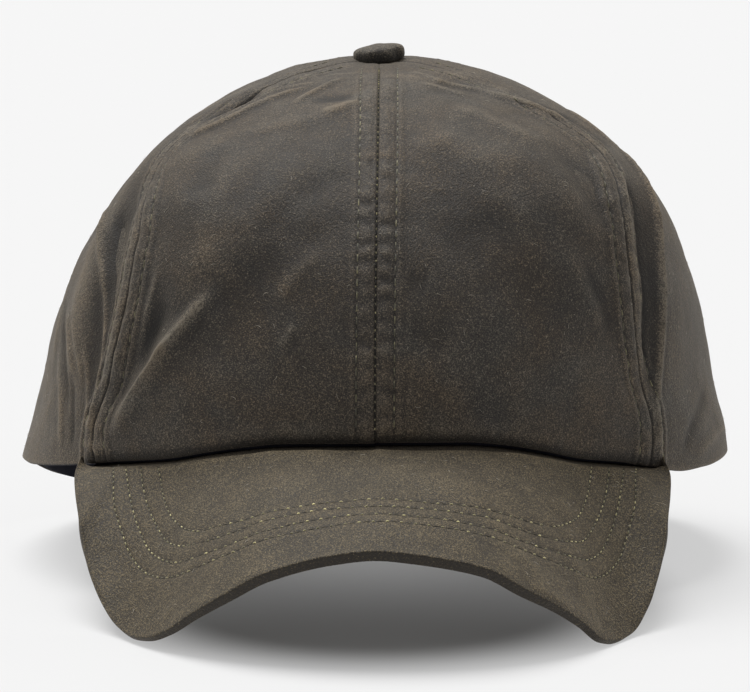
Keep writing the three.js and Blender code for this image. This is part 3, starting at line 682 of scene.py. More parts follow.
def peak_frame(place, out):
    """The peak's point, its upward direction and its two steps in millimetres for each unit of place and
    out."""
    inside, step = np.clip(place, -0.9, 0.9), 0.01
    around = (plain_peak(inside + step, out) - plain_peak(inside - step, out)) / (2 * step)
    ahead, behind = np.minimum(out + step, 1), np.maximum(out - step, 0)
    outwards = (plain_peak(inside, ahead) - plain_peak(inside, behind)) / (ahead - behind)[..., None]
    return plain_peak(place, out), unit(np.cross(outwards, around)), around, outwards


def row_distance(table, place, out, around, outwards):
    """Signed millimetres from a stitch row: how far out is past the row's own value there, divided by how
    fast that changes over the face."""
    share = np.abs(place)
    value = out - smooth(table, 1, share)
    step = 0.004
    slope = -(smooth(table, 1, share + step) - smooth(table, 1, share - step)) / (2 * step) * np.sign(place)
    aa, ao, oo = (around**2).sum(-1), (around * outwards).sum(-1), (outwards**2).sum(-1)
    steep = (oo * slope**2 - 2 * ao * slope + aa) / np.maximum(aa * oo - ao**2, 1e-6)
    return value / np.sqrt(np.maximum(steep, 1e-9))


def peak_surface(place, out):
    """The peak's upper face with its soft waves, the fine grooves of its stitch rows and the low ribs
    between them. Returns points, upward directions and the push."""
    shape = np.broadcast(place, out).shape
    place, out = (np.broadcast_to(v, shape).ravel().astype(float) for v in (place, out))
    point, up, around, outwards = peak_frame(place, out)
    push = soft_waves(point, PEAK_WAVES)
    gaps = [row_distance(table, place, out, around, outwards) for table in PEAK_ROWS]
    for gap in gaps:
        push -= ROW_GROOVE * bell(gap, 0, 0.45)
    for inner, outer in zip(gaps[:-1], gaps[1:]):
        rib = np.sin(np.pi * np.clip(inner / np.maximum(inner - outer, 0.1), 0, 1))
        push += np.where((inner > 0) & (outer < 0), ROW_RIB * rib, 0)
    push *= ease(0, 0.03, out) * ease(0, 0.03, 1 - out)
    push -= ROOT_DROP * np.clip(1 - out * np.linalg.norm(outwards, axis=-1) / 3, 0, 1) ** 2
    return (point + up * push[:, None]).reshape(*shape, 3), up.reshape(*shape, 3), push.reshape(shape)


def peak_places(count):
    """Places along the peak, closer together where its edge turns most."""
    t = np.linspace(-1, 1, count)
    return t + 0.05 * np.sin(2 * np.pi * np.abs(t)) * np.sign(t)


def fan(loop):
    """Triangles that close a loop of points from its first one."""
    return np.stack([np.full(len(loop) - 2, loop[0]), loop[1:-1], loop[2:]], -1)


def tube_faces(rings, count):
    """The quads round a tube of rings of points, and the triangles that close its two ends."""
    ends = [fan(np.arange(count)), fan((rings - 1) * count + np.arange(count))[:, ::-1]]
    return grid_quads(rings, count, closed=True)[:, ::-1], np.concatenate(ends)


def peak_cover(columns=300, rows=110):
    """The peak's upper cover: the upper face, a firm upright edge with small round corners, a strip turned
    under it and the board's lower face, as one closed wall."""
    place = peak_places(columns)[:, None]
    out = np.linspace(0, 1, rows)[None, :]
    upper, up, push = peak_surface(place, out)
    edge, normal = upper[:, -1], up[:, -1]
    thick = PEAK_EDGE_HEIGHT - PEAK_EDGE_THINNING * ease(0.2, 0.5, np.abs(place))
    along = unit(np.gradient(edge, axis=0))
    outward = unit(np.cross(along, normal))
    outward *= np.sign((outward * (edge - peak_root(place[:, 0]))).sum(-1, keepdims=True) + 1e-9)
    r = PEAK_EDGE_ROUND
    turns = np.linspace(0, np.pi / 2, 5)[1:]
    corner = [edge + outward * r * np.sin(a) - normal * r * (1 - np.cos(a)) for a in turns]
    levels = [r + (thick - 2 * r) * share for share in np.linspace(0, 1, 7)[1:]]
    face = [edge + outward * r - normal * level for level in levels]
    lower = [edge + outward * r * np.cos(a) - normal * (thick - r + r * np.sin(a)) for a in turns]
    length = np.linalg.norm(edge - upper[:, 0], axis=-1, keepdims=True)
    inward = unit(upper[:, 0] - edge)
    strip = [np.minimum(way, 0.45 * length) for way in (1.5, 3.5, PEAK_TURN_UNDER)]
    under = [edge + inward * way - normal * thick for way in strip]
    back_outs = 1 - np.linspace(PEAK_TURN_UNDER / PEAK_LENGTH * 1.05, 1, 12)
    flat = place[:, 0]
    board = [plain_peak(flat, o) - peak_frame(flat, o + 0 * flat)[1] * PEAK_BOARD for o in back_outs]
    level_out = unit(crown_frame(root_azimuth(flat), 0 * flat)[1] * [1, 1, 0])
    tucked = plain_peak(flat, 0.0) - level_out * PEAK_TUCK
    ring = [upper[:, i] for i in range(rows)] + corner + face + lower + under + board
    ring += [tucked - np.array([0, 0, PEAK_BOARD]), tucked]
    points = np.stack(ring, 1)
    count = points.shape[1]
    wear_and_painted_light = np.zeros(points.shape[:2])
    wear_and_painted_light[:, :rows] = wear_and_groove_shade(push)
    # Painted shade on the edge band, which faces forward and down.
    wear_and_painted_light[:, rows + 2:rows + 16] = -EDGE_PAINTED_SHADE
    steps = np.linalg.norm(np.diff(points, axis=1), axis=-1)
    distance = np.concatenate([np.zeros((columns, 1)), np.cumsum(steps, axis=1)], 1)
    uv = np.stack([points[..., 0], distance], -1).reshape(-1, 2)
    faces = tube_faces(columns, count)
    return make_mesh("peak_cover_cloth", points.reshape(-1, 3), *faces, {"wear_and_painted_light": wear_and_painted_light.ravel()}, uv)


def peak_under(columns=150, rows=40):
    """The peak's lower cover: a thin closed wall under the board, from the hem to just inside the turned
    edge."""
    place = peak_places(columns)[:, None] * 0.985
    length = np.linalg.norm(peak_edge(place[:, 0]) - peak_root(place[:, 0]), axis=-1)[:, None]
    reach_out = 1 - np.minimum(PEAK_TURN_UNDER * 0.9 / length, 0.5)
    out = np.linspace(0, 1, rows)[None, :] * reach_out
    place = place + 0 * out
    point, up, _, _ = peak_frame(place.ravel(), out.ravel())
    point, up = point.reshape(*place.shape, 3), up.reshape(*place.shape, 3)
    relief = (0.12 * waves(point.reshape(-1, 3), 14, 41)).reshape(place.shape)
    top = point - up * (PEAK_BOARD + LINING_GAP)
    bottom = point - up * (PEAK_BOARD + LINING_GAP + PEAK_LINING + relief)[..., None]
    ring = np.concatenate([top, bottom[:, ::-1]], 1)
    count = ring.shape[1]
    points, wear_and_painted_light = ring.reshape(-1, 3), np.zeros(ring.size // 3)
    return make_mesh("peak_under_cloth", points, *tube_faces(columns, count), {"wear_and_painted_light": wear_and_painted_light}, points[:, :2])


def sweatband(columns=240, levels=24):
    """The band inside the hem: a closed ring of cloth with rounded edges that follows the crown's inner
    face, with soft waves."""
    azimuth = np.linspace(-180, 180, columns, endpoint=False)[:, None]
    half = BAND_CLOTH / 2
    level = np.linspace(0, 1, levels)
    turn = np.linspace(0, np.pi, 7)[1:-1]
    across = np.concatenate([0 * level + half, half * np.cos(turn), 0 * level - half, -half * np.cos(turn)])
    up, rounded = level * BAND_HEIGHT, half * np.sin(turn)
    height = np.concatenate([up, BAND_HEIGHT + rounded, up[::-1], -rounded])
    rise = height[None, :] / (CROWN_HEIGHT - hem_height(azimuth)) + SEAT_GAP / (CROWN_HEIGHT - FRONT_LIFT)
    azimuths = azimuth + 0 * rise
    point, out, _ = crown_frame(azimuths, np.maximum(rise, 0))
    beside = np.minimum.reduce([large_folds(azimuths + turn_by, rise) for turn_by in (-4, -2, 0, 2, 4)])
    soft = 0.15 * waves(point.reshape(-1, 3), 16, 51).reshape(rise.shape)
    clear = CLOTH + ALLOWANCE_DEPTH + BAND_GAP + half + 0.2
    middle = np.minimum(beside, 0) + np.minimum(soft, 0) - clear
    turned_in, _ = front_hem(azimuths, height[None, :] + 0 * azimuths)
    points = point + out * (middle + across - turned_in)[..., None]
    lift = np.maximum(smooth(HEM_LIFTS, 1, azimuths), 0) - BAND_DROP * (1 - ease(46, 51, np.abs(azimuths)))
    points[..., 2] += lift * (1 - height / BAND_HEIGHT).clip(0, 1)
    count = points.shape[1]
    quads = grid_quads(columns + 1, count, closed=True) % (columns * count)
    uv = np.stack([azimuths * MILLIMETRES_PER_DEGREE, height[None, :] + 0 * rise], -1).reshape(-1, 2)
    return make_mesh("sweatband_cloth_ring", points.reshape(-1, 3), quads, uv=uv)


def button():
    """The covered button: a low dome of cloth drawn over a disc, with small pleats that fade towards its
    middle, turned under at the rim."""
    low, high = (np.array(corner) / METRES - AXIS_TO_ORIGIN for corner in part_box("top_button"))
    centre = (low + high) / 2
    turn = np.linspace(0, 2 * np.pi, 96, endpoint=False)[:, None]
    numbers = np.arange(len(BUTTON_PROFILE))
    steps = np.linspace(0, numbers[-1], 53)
    r = BUTTON_RADIUS * np.interp(steps, numbers, BUTTON_PROFILE[:, 0])
    z = np.interp(steps, numbers, BUTTON_PROFILE[:, 1]) * BUTTON_HEIGHT / 3
    r, z = blur(r[None, :], 1)[0], blur(z[None, :], 1)[0]
    flat = np.stack([r * np.cos(turn), r * np.sin(turn), z + 0 * turn], -1)
    pleats = np.sin(9 * turn + 1.3 * np.sin(2 * turn)) * 0.16 * (r / BUTTON_RADIUS) ** 4
    soft = 0.12 * waves(flat.reshape(-1, 3), 5, 61).reshape(flat.shape[:2])
    push = pleats + soft * (r / BUTTON_RADIUS)
    flat[..., :2] *= (1 + push / BUTTON_RADIUS)[..., None]
    flat[..., 2] += 0.5 * soft * (z > 0)
    tilt = np.radians(BUTTON_TILT)
    turned = np.stack([flat[..., 0] * np.cos(tilt) - flat[..., 2] * np.sin(tilt), flat[..., 1],
                       flat[..., 0] * np.sin(tilt) + flat[..., 2] * np.cos(tilt)], -1)
    level = high[2] - BUTTON_HEIGHT - BUTTON_RADIUS * np.sin(tilt) / 2
    points = turned + np.array([centre[0], centre[1], level])
    rows, count = points.shape[:2]
    quads = grid_quads(rows + 1, count) % (rows * count)
    bottom = fan(np.arange(rows) * count)[:, ::-1]
    # A paler tone overall, paler on the pleats and darker between them as painted shade, and painted shade
    # towards the turned-under rim.
    wear_and_painted_light = 0.7 + 3 * push - EDGE_PAINTED_SHADE * (1 - ease(-1.2, 2.0, z))
    uv = flat[..., :2].reshape(-1, 2)
    return make_mesh("top_button_cover", points.reshape(-1, 3), quads, bottom, {"wear_and_painted_light": wear_and_painted_light.ravel()}, uv)


def stitches(name, paths, pitch, length, width, shift, rise):
    """Many stitches in one mesh. Each is a short thread of five rings along its path, thickest in its
    middle, with both ends drawn down into the cloth. A path is points and outward directions, close
    together."""
    blocks, faces = [], []
    along = np.array([-0.5, -0.36, 0.0, 0.36, 0.5]) * length
    thick = np.array([0.45, 0.85, 1.0, 0.85, 0.45]) * width / 2
    lift = np.array([-0.22, 0.04, 0.12, 0.04, -0.22]) - 0.12 + rise
    turn = np.linspace(0, 2 * np.pi, 6, endpoint=False)
    start_cap, end_cap = np.array([[0, 5, 4, 1], [1, 4, 3, 2]]), 24 + np.array([[0, 1, 4, 5], [1, 2, 3, 4]])
    ring = np.concatenate([grid_quads(5, 6, closed=True), start_cap, end_cap])
    for points, out in paths:
        run = run_length(points)
        centres = np.arange(pitch / 2 + shift, run[-1] - pitch / 3, pitch)
        at = centres[:, None] + along
        place = np.stack([np.interp(at, run, points[:, i]) for i in range(3)], -1)
        normal = unit(np.stack([np.interp(at, run, out[:, i]) for i in range(3)], -1))
        side = unit(np.cross(place[:, -1:] - place[:, :1], normal))
        middle = place + normal * lift[:, None]
        across = side[:, :, None, :] * np.cos(turn)[:, None]
        circle = across + normal[:, :, None, :] * np.sin(turn)[:, None] * STITCH_FLATNESS
        body = middle[:, :, None, :] + circle * thick[:, None, None]
        blocks.append(body.reshape(-1, 3))
        faces.append((ring[None] + 30 * np.arange(len(centres))[:, None, None]).reshape(-1, 4))
    starts = np.cumsum([0] + [len(b) for b in blocks[:-1]])
    quads = np.concatenate([f + s for f, s in zip(faces, starts)])
    return make_mesh(name, np.concatenate(blocks), quads)


def lint(crown_count=520, peak_count=220, steps=6):
    """Short pale fibres that lie on the cloth: thin three-sided threads, each bent evenly along its length
    in the cloth's plane."""
    rng = np.random.default_rng(71)
    azimuth, height = rng.uniform(-178, 178, crown_count), rng.uniform(0.03, 0.96, crown_count)
    crown_points, crown_out = crown_surface(azimuth, height)[:2]
    across, ahead = rng.uniform(-0.85, 0.85, peak_count), rng.uniform(0.05, 0.95, peak_count)
    peak_points, peak_up = peak_surface(across, ahead)[:2]
    start, out = np.concatenate([crown_points, peak_points]), np.concatenate([crown_out, peak_up])
    count = len(start)
    first = unit(np.cross(out, unit(rng.normal(size=(count, 3)))))
    second = np.cross(out, first)
    length, bend = rng.uniform(0.5, 2.2, (count, 1)), rng.normal(0, 1.3, (count, 1))
    s = np.linspace(0, 1, steps)
    turn = bend * s
    along = length * np.cumsum(np.cos(turn), axis=1) / steps
    beside = length * np.cumsum(np.sin(turn), axis=1) / steps
    path = start[:, None] + first[:, None] * along[..., None] + second[:, None] * beside[..., None]
    path = path + out[:, None] * (0.10 + 0.05 * np.sin(np.pi * s))[:, None]
    across = -first[:, None] * np.sin(turn)[..., None] + second[:, None] * np.cos(turn)[..., None]
    thick = 0.045 * (1 - 0.7 * np.abs(2 * s - 1) ** 3)
    rings = []
    for angle in np.radians([90, 210, 330]):
        rings.append(path + (across * np.cos(angle) + out[:, None] * np.sin(angle)) * thick[:, None])
    points = np.stack(rings, 2).reshape(-1, 3)
    one = grid_quads(steps, 3, closed=True)
    ends = np.array([[0, 2, 1], [3 * steps - 3, 3 * steps - 2, 3 * steps - 1]])
    shift = 3 * steps * np.arange(count)[:, None, None]
    quads, triangles = (one[None] + shift).reshape(-1, 4), (ends[None] + shift).reshape(-1, 3)
    return make_mesh("lint_fibres", points, quads, triangles)


def crown_row(index, offset, low=0.02, high=0.985):
    """The path of a topstitch row on the crown, at a distance from a seam."""
    heights = 1 - np.linspace(np.sqrt(1 - high), np.sqrt(1 - low), 500) ** 2
    line = seam_azimuth(index, heights)
    per_degree = crown_frame(line, heights)[2]
    beside = line + offset * seam_lean(index, heights, per_degree) / per_degree
    return crown_surface(beside, heights)[:2]


def peak_row(table, start, end):
    """The path of a stitch row on the peak between two places, at most from where it leaves the hem on the
    left to the right."""
    last = table[table[:, 1] > 0.01][-1, 0] + 0.008
    place = np.linspace(max(start, -last), min(end, last), 900)
    out = np.clip(smooth(table, 1, np.abs(place)), 0.005, 1)
    return peak_surface(place, out)[:2]


# Materials

def add_node(tree, kind, inputs=None, **settings):
    """A shader node with its settings, whose inputs are given values or linked to other nodes' outputs."""
    node = tree.nodes.new(kind)
    for key, value in settings.items():
        setattr(node, key, value)
    for key, value in (inputs or {}).items():
        if isinstance(value, bpy.types.NodeSocket):
            tree.links.new(value, node.inputs[key])
        else:
            node.inputs[key].default_value = value
    return node


def new_material(name):
    """An empty material, its node tree, its shader node and the piece's Object coordinates."""
    material = bpy.data.materials.new(name)
    material.use_nodes = True
    tree = material.node_tree
    tree.nodes.clear()
    shader = add_node(tree, "ShaderNodeBsdfPrincipled")
    output = add_node(tree, "ShaderNodeOutputMaterial")
    tree.links.new(shader.outputs[0], output.inputs[0])
    return material, tree, shader, add_node(tree, "ShaderNodeTexCoord").outputs["Object"]


def noise(tree, vector, size, detail=3.0, roughness=0.5, distortion=0.0):
    """Noise whose lumps are about size metres across."""
    inputs = {"Vector": vector, "Scale": 1 / size, "Detail": detail, "Roughness": roughness}
    return add_node(tree, "ShaderNodeTexNoise", {**inputs, "Distortion": distortion}).outputs["Fac"]


def math_node(tree, operation, *values):
    """The result of a Math node on values or outputs."""
    return add_node(tree, "ShaderNodeMath", dict(enumerate(values)), operation=operation).outputs[0]


def weigh(tree, base, terms):
    """base plus each output less its middle, times its weight."""
    total = base
    for output, weight, middle in terms:
        centred = math_node(tree, "SUBTRACT", output, middle)
        total = math_node(tree, "MULTIPLY_ADD", centred, weight, total)
    return total


def ramp(tree, value, stops):
    """A colour ramp from stops of position and linear colour."""
    node = add_node(tree, "ShaderNodeValToRGB", {"Fac": value})
    elements = node.color_ramp.elements
    while len(elements) < len(stops):
        elements.new(0.5)
    for element, (position, colour) in zip(elements, stops):
        element.position = position
        element.color = (*colour, 1)
    return node.outputs["Color"]


def weave(tree, pitch):
    """Height of a plain weave from the cloth's own UV map in millimetres: the product of a sine across and
    a sine along."""
    uv = add_node(tree, "ShaderNodeUVMap", uv_map="cloth").outputs["UV"]
    split = add_node(tree, "ShaderNodeSeparateXYZ", {"Vector": uv})
    angles = [math_node(tree, "MULTIPLY", split.outputs[axis], np.pi / pitch) for axis in (0, 1)]
    return math_node(tree, "MULTIPLY", *[math_node(tree, "SINE", angle) for angle in angles])


# Noises of the wax. Columns: size in metres, detail, roughness, distortion.
CLOUDS = (0.03, 3, 0.55, 0.3)
PATCHES = (0.017, 4, 0.6, 0.5)
MOTTLE = (0.005, 3, 0.6, 0.4)
SPECKLE = (0.0008, 2, 0.6)
FLECKS = (0.0005, 1, 0.5)
GRAIN = (0.00034, 1, 0.5)
WEAVE_PITCH = 0.5
COOL_WAX = np.array([0.95, 1.00, 1.05])
WARM_WAX = np.array([1.07, 1.00, 0.91])
WAX_SHEEN_TINT = (1.0, 0.85, 0.65, 1)


def waxed_cotton(name, stops, sheen, nap, cloudy, grainy):
    """Waxed cotton: a nearly even tone with faint clouds and patches of warmer and cooler wax, pale bloom on
    ridges and painted shade in grooves, fine speckle and weave, a dull warm sheen. The nap is how finely the
    speckle is drawn each way; cloudy and grainy are how strong the clouds and the grain are."""
    material, tree, shader, place = new_material(name)
    # The attribute carries rubbed wax and pale crease lines, and also painted shade and painted highlights.
    wear_and_painted_light = add_node(tree, "ShaderNodeAttribute", attribute_name="wear_and_painted_light").outputs["Fac"]
    clouds, mottle = noise(tree, place, *CLOUDS), noise(tree, place, *MOTTLE)
    drawn = add_node(tree, "ShaderNodeMapping", {"Vector": place, "Scale": nap}).outputs[0]
    speckle, grain = noise(tree, drawn, *SPECKLE), noise(tree, drawn, *GRAIN)
    flecks = math_node(tree, "POWER", noise(tree, drawn, *FLECKS), 7.0)
    woven = weave(tree, WEAVE_PITCH)
    tone = weigh(tree, 0.5, [
        (clouds, 0.16 * cloudy, 0.5), (mottle, 0.12 * cloudy, 0.5), (speckle, 0.50, 0.5),
        (grain, 1.8 * grainy, 0.5), (flecks, 4.0, 0.02), (woven, 0.03, 0.0), (wear_and_painted_light, 0.20, 0.0)])
    tint = ramp(tree, noise(tree, place, *PATCHES), [
        (0.35, 1 + (COOL_WAX - 1) * cloudy), (0.65, 1 + (WARM_WAX - 1) * cloudy)])
    colour = add_node(tree, "ShaderNodeMix", data_type="RGBA", blend_type="MULTIPLY")
    colour.inputs["Factor"].default_value = 1.0
    tree.links.new(ramp(tree, tone, stops), colour.inputs[6])
    tree.links.new(tint, colour.inputs[7])
    tree.links.new(colour.outputs[2], shader.inputs["Base Color"])
    rough = weigh(tree, 0.62, [(mottle, 0.15, 0.5), (grain, 0.4, 0.5)])
    tree.links.new(rough, shader.inputs["Roughness"])
    shader.inputs["Specular IOR Level"].default_value = 0.25
    shader.inputs["Sheen Weight"].default_value = sheen
    shader.inputs["Sheen Roughness"].default_value = 0.45
    shader.inputs["Sheen Tint"].default_value = WAX_SHEEN_TINT
    height = weigh(tree, 0.0, [
        (mottle, 0.6, 0.5), (speckle, 1.0, 0.5), (grain, 1.0, 0.5), (woven, 0.06, 0.0)])
    bump = add_node(tree, "ShaderNodeBump", {"Height": height, "Strength": 0.7, "Distance": 0.00035})
    tree.links.new(bump.outputs[0], shader.inputs["Normal"])
    return material


def plain_fibre(name, dark, light, roughness):
    """Thread or fibre whose tone wanders between a dark and a light colour."""
    material, tree, shader, place = new_material(name)
    tone = noise(tree, place, 0.003, 3, 0.7)
    tree.links.new(ramp(tree, tone, [(0.3, dark), (0.7, light)]), shader.inputs["Base Color"])
    shader.inputs["Roughness"].default_value = roughness
    return material


THREAD_STOPS = [(0.25, (0.04, 0.035, 0.018)), (0.5, (0.13, 0.115, 0.055)), (0.80, (0.42, 0.37, 0.18))]


def thread_material(name, brightness):
    """Olive sewing thread with small changes of tone from stitch to stitch; the brightness scales its colour,
    also for copies that are painted shade and painted highlight.
    """
    material, tree, shader, place = new_material(name)
    patch = noise(tree, place, 0.0022, 2)
    fibre = noise(tree, place, 0.0003, 2)
    tone = weigh(tree, 0.5, [(patch, 1.3, 0.5), (fibre, 0.6, 0.5)])
    stops = [(position, tuple(brightness * part for part in colour)) for position, colour in THREAD_STOPS]
    tree.links.new(ramp(tree, tone, stops), shader.inputs["Base Color"])
    shader.inputs["Roughness"].default_value = 0.7
    shader.inputs["Sheen Weight"].default_value = 0.3
    bump = add_node(tree, "ShaderNodeBump", {"Height": fibre, "Strength": 0.4, "Distance": 0.0001})
    tree.links.new(bump.outputs[0], shader.inputs["Normal"])
    return material


def band_material():
    """The sweatband's dark navy twill: fine diagonal ribs with a little fading."""
    material, tree, shader, place = new_material("sweatband_twill")
    uv = add_node(tree, "ShaderNodeUVMap", uv_map="cloth").outputs["UV"]
    split = add_node(tree, "ShaderNodeSeparateXYZ", {"Vector": uv})
    slant = math_node(tree, "ADD", split.outputs[0], split.outputs[1])
    rib = math_node(tree, "SINE", math_node(tree, "MULTIPLY", slant, 2 * np.pi / 0.7))
    fading = noise(tree, place, 0.012, 4, 0.6)
    tone = weigh(tree, 0.5, [(fading, 0.8, 0.5), (rib, 0.12, 0.0)])
    stops = [(0.2, (0.005, 0.005, 0.009)), (0.8, (0.014, 0.014, 0.021))]
    tree.links.new(ramp(tree, tone, stops), shader.inputs["Base Color"])
    shader.inputs["Roughness"].default_value = 0.85
    shader.inputs["Specular IOR Level"].default_value = 0.1
    bump = add_node(tree, "ShaderNodeBump", {"Height": rib, "Strength": 0.4, "Distance": 0.0002})
    tree.links.new(bump.outputs[0], shader.inputs["Normal"])
    return material


CROWN_STOPS = [
    (0.10, (0.0170, 0.0147, 0.0130)), (0.40, (0.0378, 0.0322, 0.0270)),
    (0.60, (0.059, 0.0488, 0.0380)), (0.95, (0.152, 0.126, 0.094))]
PEAK_STOPS = [
    (0.10, (0.0195, 0.0160, 0.0128)), (0.40, (0.0425, 0.0342, 0.0220)),
    (0.60, (0.063, 0.0503, 0.0315)), (0.95, (0.155, 0.123, 0.074))]

crown_cloth = waxed_cotton("waxed_crown_cotton", CROWN_STOPS, 0.14, (1.15, 0.8, 1.15), 1.0, 1.0)
peak_cloth = waxed_cotton("waxed_peak_cotton", PEAK_STOPS, 0.12, (1.15, 0.65, 1.15), 0.2, 1.40)
# Olive thread made darker as painted shade over the crown's stitches.
thread = thread_material("crown_thread_painted_shade", 0.62)
side_thread = thread_material("peak_side_thread", 1.5)
# A paler copy of the thread: painted highlight where stitch ends catch the light.
highlight_thread = thread_material("stitch_end_painted_highlight", 2.0)
# Near-black olive thread: painted shade along the peak's stitch rows.
olive_shade_thread = plain_fibre("olive_thread_painted_shade", (0.007, 0.006, 0.0035), (0.036, 0.030, 0.016), 0.85)
# Near-black thread: the centre seam's dark stitches, and painted shade in the crown's needle holes.
dark_thread_and_hole_shade = plain_fibre("dark_thread_and_hole_painted_shade", (0.004, 0.0035, 0.003), (0.014, 0.012, 0.010), 0.9)
pale_fibre = plain_fibre("pale_lint", (0.20, 0.18, 0.14), (0.55, 0.50, 0.42), 0.8)
band_cloth = band_material()


# Pieces

def dress(piece, material, slot, *nodes):
    """Gives a piece its material and its body, and hides the solids that it stands for. The slot is not used.
    """
    piece.data.materials.append(material)
    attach(piece, "root")
    if nodes:
        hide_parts(*nodes)


# Columns: name, numbers of the seams at its left and right, columns and rows inside, fine steps in each.
PANELS = [
    ("back_panel_left", 0, 1, 12, 26, 5), ("side_panel_left", 1, 2, 24, 42, 5),
    ("front_panel_left", 2, 3, 28, 44, 6), ("front_panel_right", 3, 4, 28, 44, 6),
    ("side_panel_right", 4, 5, 24, 42, 5), ("back_panel_right", 5, 6, 12, 26, 5),
]
for panel, left, right, columns, rows, ratio in PANELS:
    cloth = crown_panel(panel + "_cloth", left, right, columns, rows, ratio)
    dress(cloth, crown_cloth, "waxed_crown", panel)

dress(peak_cover(), peak_cloth, "waxed_peak", "peak_cover")
dress(peak_under(), peak_cloth, "waxed_peak", "peak_under")
dress(sweatband(), band_cloth, "sweatband_cloth", "sweatband")
dress(button(), crown_cloth, "waxed_crown", "top_button")

seam_rows = [crown_row(index, side * TOPSTITCH_OFFSET) for index in range(1, 6) for side in (-1, 1)]
seam_rows += [crown_row(0, TOPSTITCH_OFFSET), crown_row(6, -TOPSTITCH_OFFSET)]
front_rows = [peak_row(table, -ROW_TURN, ROW_TURN) for table in PEAK_ROWS]
side_rows = [peak_row(table, *ends) for table in PEAK_ROWS for ends in ((-1, -ROW_TURN), (ROW_TURN, 1))]
centre = [crown_row(3, 0.0)]

# Columns: name, paths, pitch, length, width, share of the pitch to start at, rise, material.
STITCH_ROWS = [
    ("crown_topstitch", seam_rows, STITCH_PITCH, 2.3, 0.34, 0.0, 0.12, thread),
    # Near-black marks between the crown's stitches: painted shade in the needle holes.
    ("crown_needle_holes", seam_rows, STITCH_PITCH, 0.75, 0.42, 0.5, -0.07, dark_thread_and_hole_shade),
    # Near-black dashes along the peak's rows: painted shade; the pieces between show the thread.
    ("peak_topstitch", front_rows, PEAK_STITCH_PITCH, 2.6, 0.36, 0.0, 0.04, olive_shade_thread),
    ("peak_side_topstitch", side_rows, SIDE_STITCH_PITCH, 1.2, 0.34, 0.0, 0.02, olive_shade_thread),
    # Paler dots between the peak's front stitches: painted highlight.
    ("peak_stitch_ends", front_rows, PEAK_STITCH_PITCH, 0.9, 0.42, 0.5, 0.18, highlight_thread),
    ("peak_side_stitch_ends", side_rows, SIDE_STITCH_PITCH, 1.15, 0.36, 0.5, 0.14, side_thread),
    ("centre_seam_thread", centre, SEAM_STITCH_PITCH, 1.5, 0.36, 0.0, 0.25, dark_thread_and_hole_shade),
    # Pale specks on the centre seam: painted highlight.
    ("centre_seam_specks", centre, SEAM_STITCH_PITCH, 0.45, 0.26, 0.5, 0.36, highlight_thread),
]
for name, paths, pitch, length, width, share, rise, material in STITCH_ROWS:
    slot = "waxed_peak" if name.startswith("peak") else "waxed_crown"
    dress(stitches(name, paths, pitch, length, width, share * pitch, rise), material, slot)
dress(lint(), pale_fibre, "waxed_crown")


# Floor, light and camera

CAMERA_PLACE = (0.0, -1.35626, 0.24975)
CAMERA_ELEVATION = 8.0
CAMERA_LENS = 255.7
SENSOR_WIDTH = 36.0
FLOOR_SIZE = 30.0
FLOOR_GLOW = 0.03
FLOOR_TONE = 0.57
SHADOW_CENTRE = (0.0, -0.024)
SHADOW_REACH = (0.081, 0.118)
SHADOW_FADE = (0.62, 1.02)
SUN_TILT = 14.0
SUN_LEAN = 12.0
SUN_SPREAD = 42.0
SUN_STRENGTH = 3.25
SKY_STRENGTH = 0.46
HOLLOW_LIGHT_PLACE = (0.0, 0.035, 0.085)
HOLLOW_LIGHT_SIZE = 0.05
HOLLOW_LIGHT_POWER = 0.028
FLOOR_RIM_GLOW = 0.52
FLOOR_RIM_TONE = 0.475


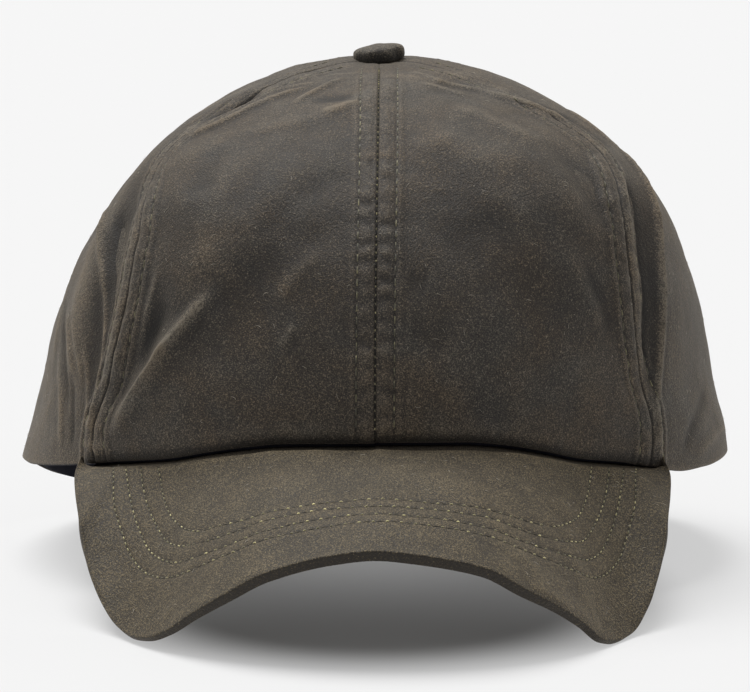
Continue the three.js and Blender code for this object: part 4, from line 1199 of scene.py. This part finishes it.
def floor():
    """A wide pale floor. Outside an ellipse under the cap more of its brightness is its own, so that
    shadows fade out there."""
    bpy.ops.mesh.primitive_plane_add(size=FLOOR_SIZE, location=(0, 0, 0))
    plane = bpy.context.object
    plane.name = "floor"
    material, tree, shader, place = new_material("pale_floor")
    split = add_node(tree, "ShaderNodeSeparateXYZ", {"Vector": place})
    both = []
    for axis, (centre_at, reach_to) in enumerate(zip(SHADOW_CENTRE, SHADOW_REACH)):
        beside = math_node(tree, "SUBTRACT", split.outputs[axis], centre_at)
        share = math_node(tree, "DIVIDE", beside, reach_to)
        both.append(math_node(tree, "MULTIPLY", share, share))
    radius = math_node(tree, "SQRT", math_node(tree, "ADD", *both))
    inputs = {"Value": radius, "From Min": SHADOW_FADE[0], "From Max": SHADOW_FADE[1]}
    outside = add_node(tree, "ShaderNodeMapRange", inputs, interpolation_type="SMOOTHSTEP").outputs[0]
    glow = math_node(tree, "MULTIPLY_ADD", outside, FLOOR_RIM_GLOW - FLOOR_GLOW, FLOOR_GLOW)
    tone = math_node(tree, "MULTIPLY_ADD", outside, FLOOR_TONE * (FLOOR_RIM_TONE - 1), FLOOR_TONE)
    tree.links.new(tone, shader.inputs["Base Color"])
    tree.links.new(glow, shader.inputs["Emission Strength"])
    shader.inputs["Emission Color"].default_value = (1, 1, 1, 1)
    shader.inputs["Roughness"].default_value = 0.9
    shader.inputs["Specular IOR Level"].default_value = 0.1
    plane.data.materials.append(material)


def light_and_camera():
    """Soft light from above and a little in front, an even sky, and the camera at the photograph's angle."""
    sun = bpy.data.lights.new("studio_softbox", "SUN")
    sun.energy = SUN_STRENGTH
    sun.angle = np.radians(SUN_SPREAD)
    holder = bpy.data.objects.new("studio_softbox", sun)
    holder.rotation_euler = (np.radians(-SUN_TILT), np.radians(-SUN_LEAN), 0)
    bpy.context.scene.collection.objects.link(holder)
    inner = bpy.data.lights.new("hollow_light", "AREA")
    inner.energy = HOLLOW_LIGHT_POWER
    inner.size = HOLLOW_LIGHT_SIZE
    holder = bpy.data.objects.new("hollow_light", inner)
    holder.location = HOLLOW_LIGHT_PLACE
    holder.visible_camera = False
    bpy.context.scene.collection.objects.link(holder)
    world = bpy.data.worlds.new("studio")
    world.use_nodes = True
    sky = world.node_tree.nodes["Background"]
    sky.inputs["Color"].default_value = (1, 1, 1, 1)
    sky.inputs["Strength"].default_value = SKY_STRENGTH
    bpy.context.scene.world = world
    camera = bpy.data.cameras.new("camera")
    camera.lens = CAMERA_LENS
    camera.sensor_width = SENSOR_WIDTH
    camera.clip_end = 100
    holder = bpy.data.objects.new("camera", camera)
    holder.location = CAMERA_PLACE
    holder.rotation_euler = (np.radians(90 - CAMERA_ELEVATION), 0, 0)
    bpy.context.scene.collection.objects.link(holder)
    bpy.context.scene.camera = holder
    bpy.context.scene.view_settings.view_transform = "Standard"


floor()
light_and_camera()
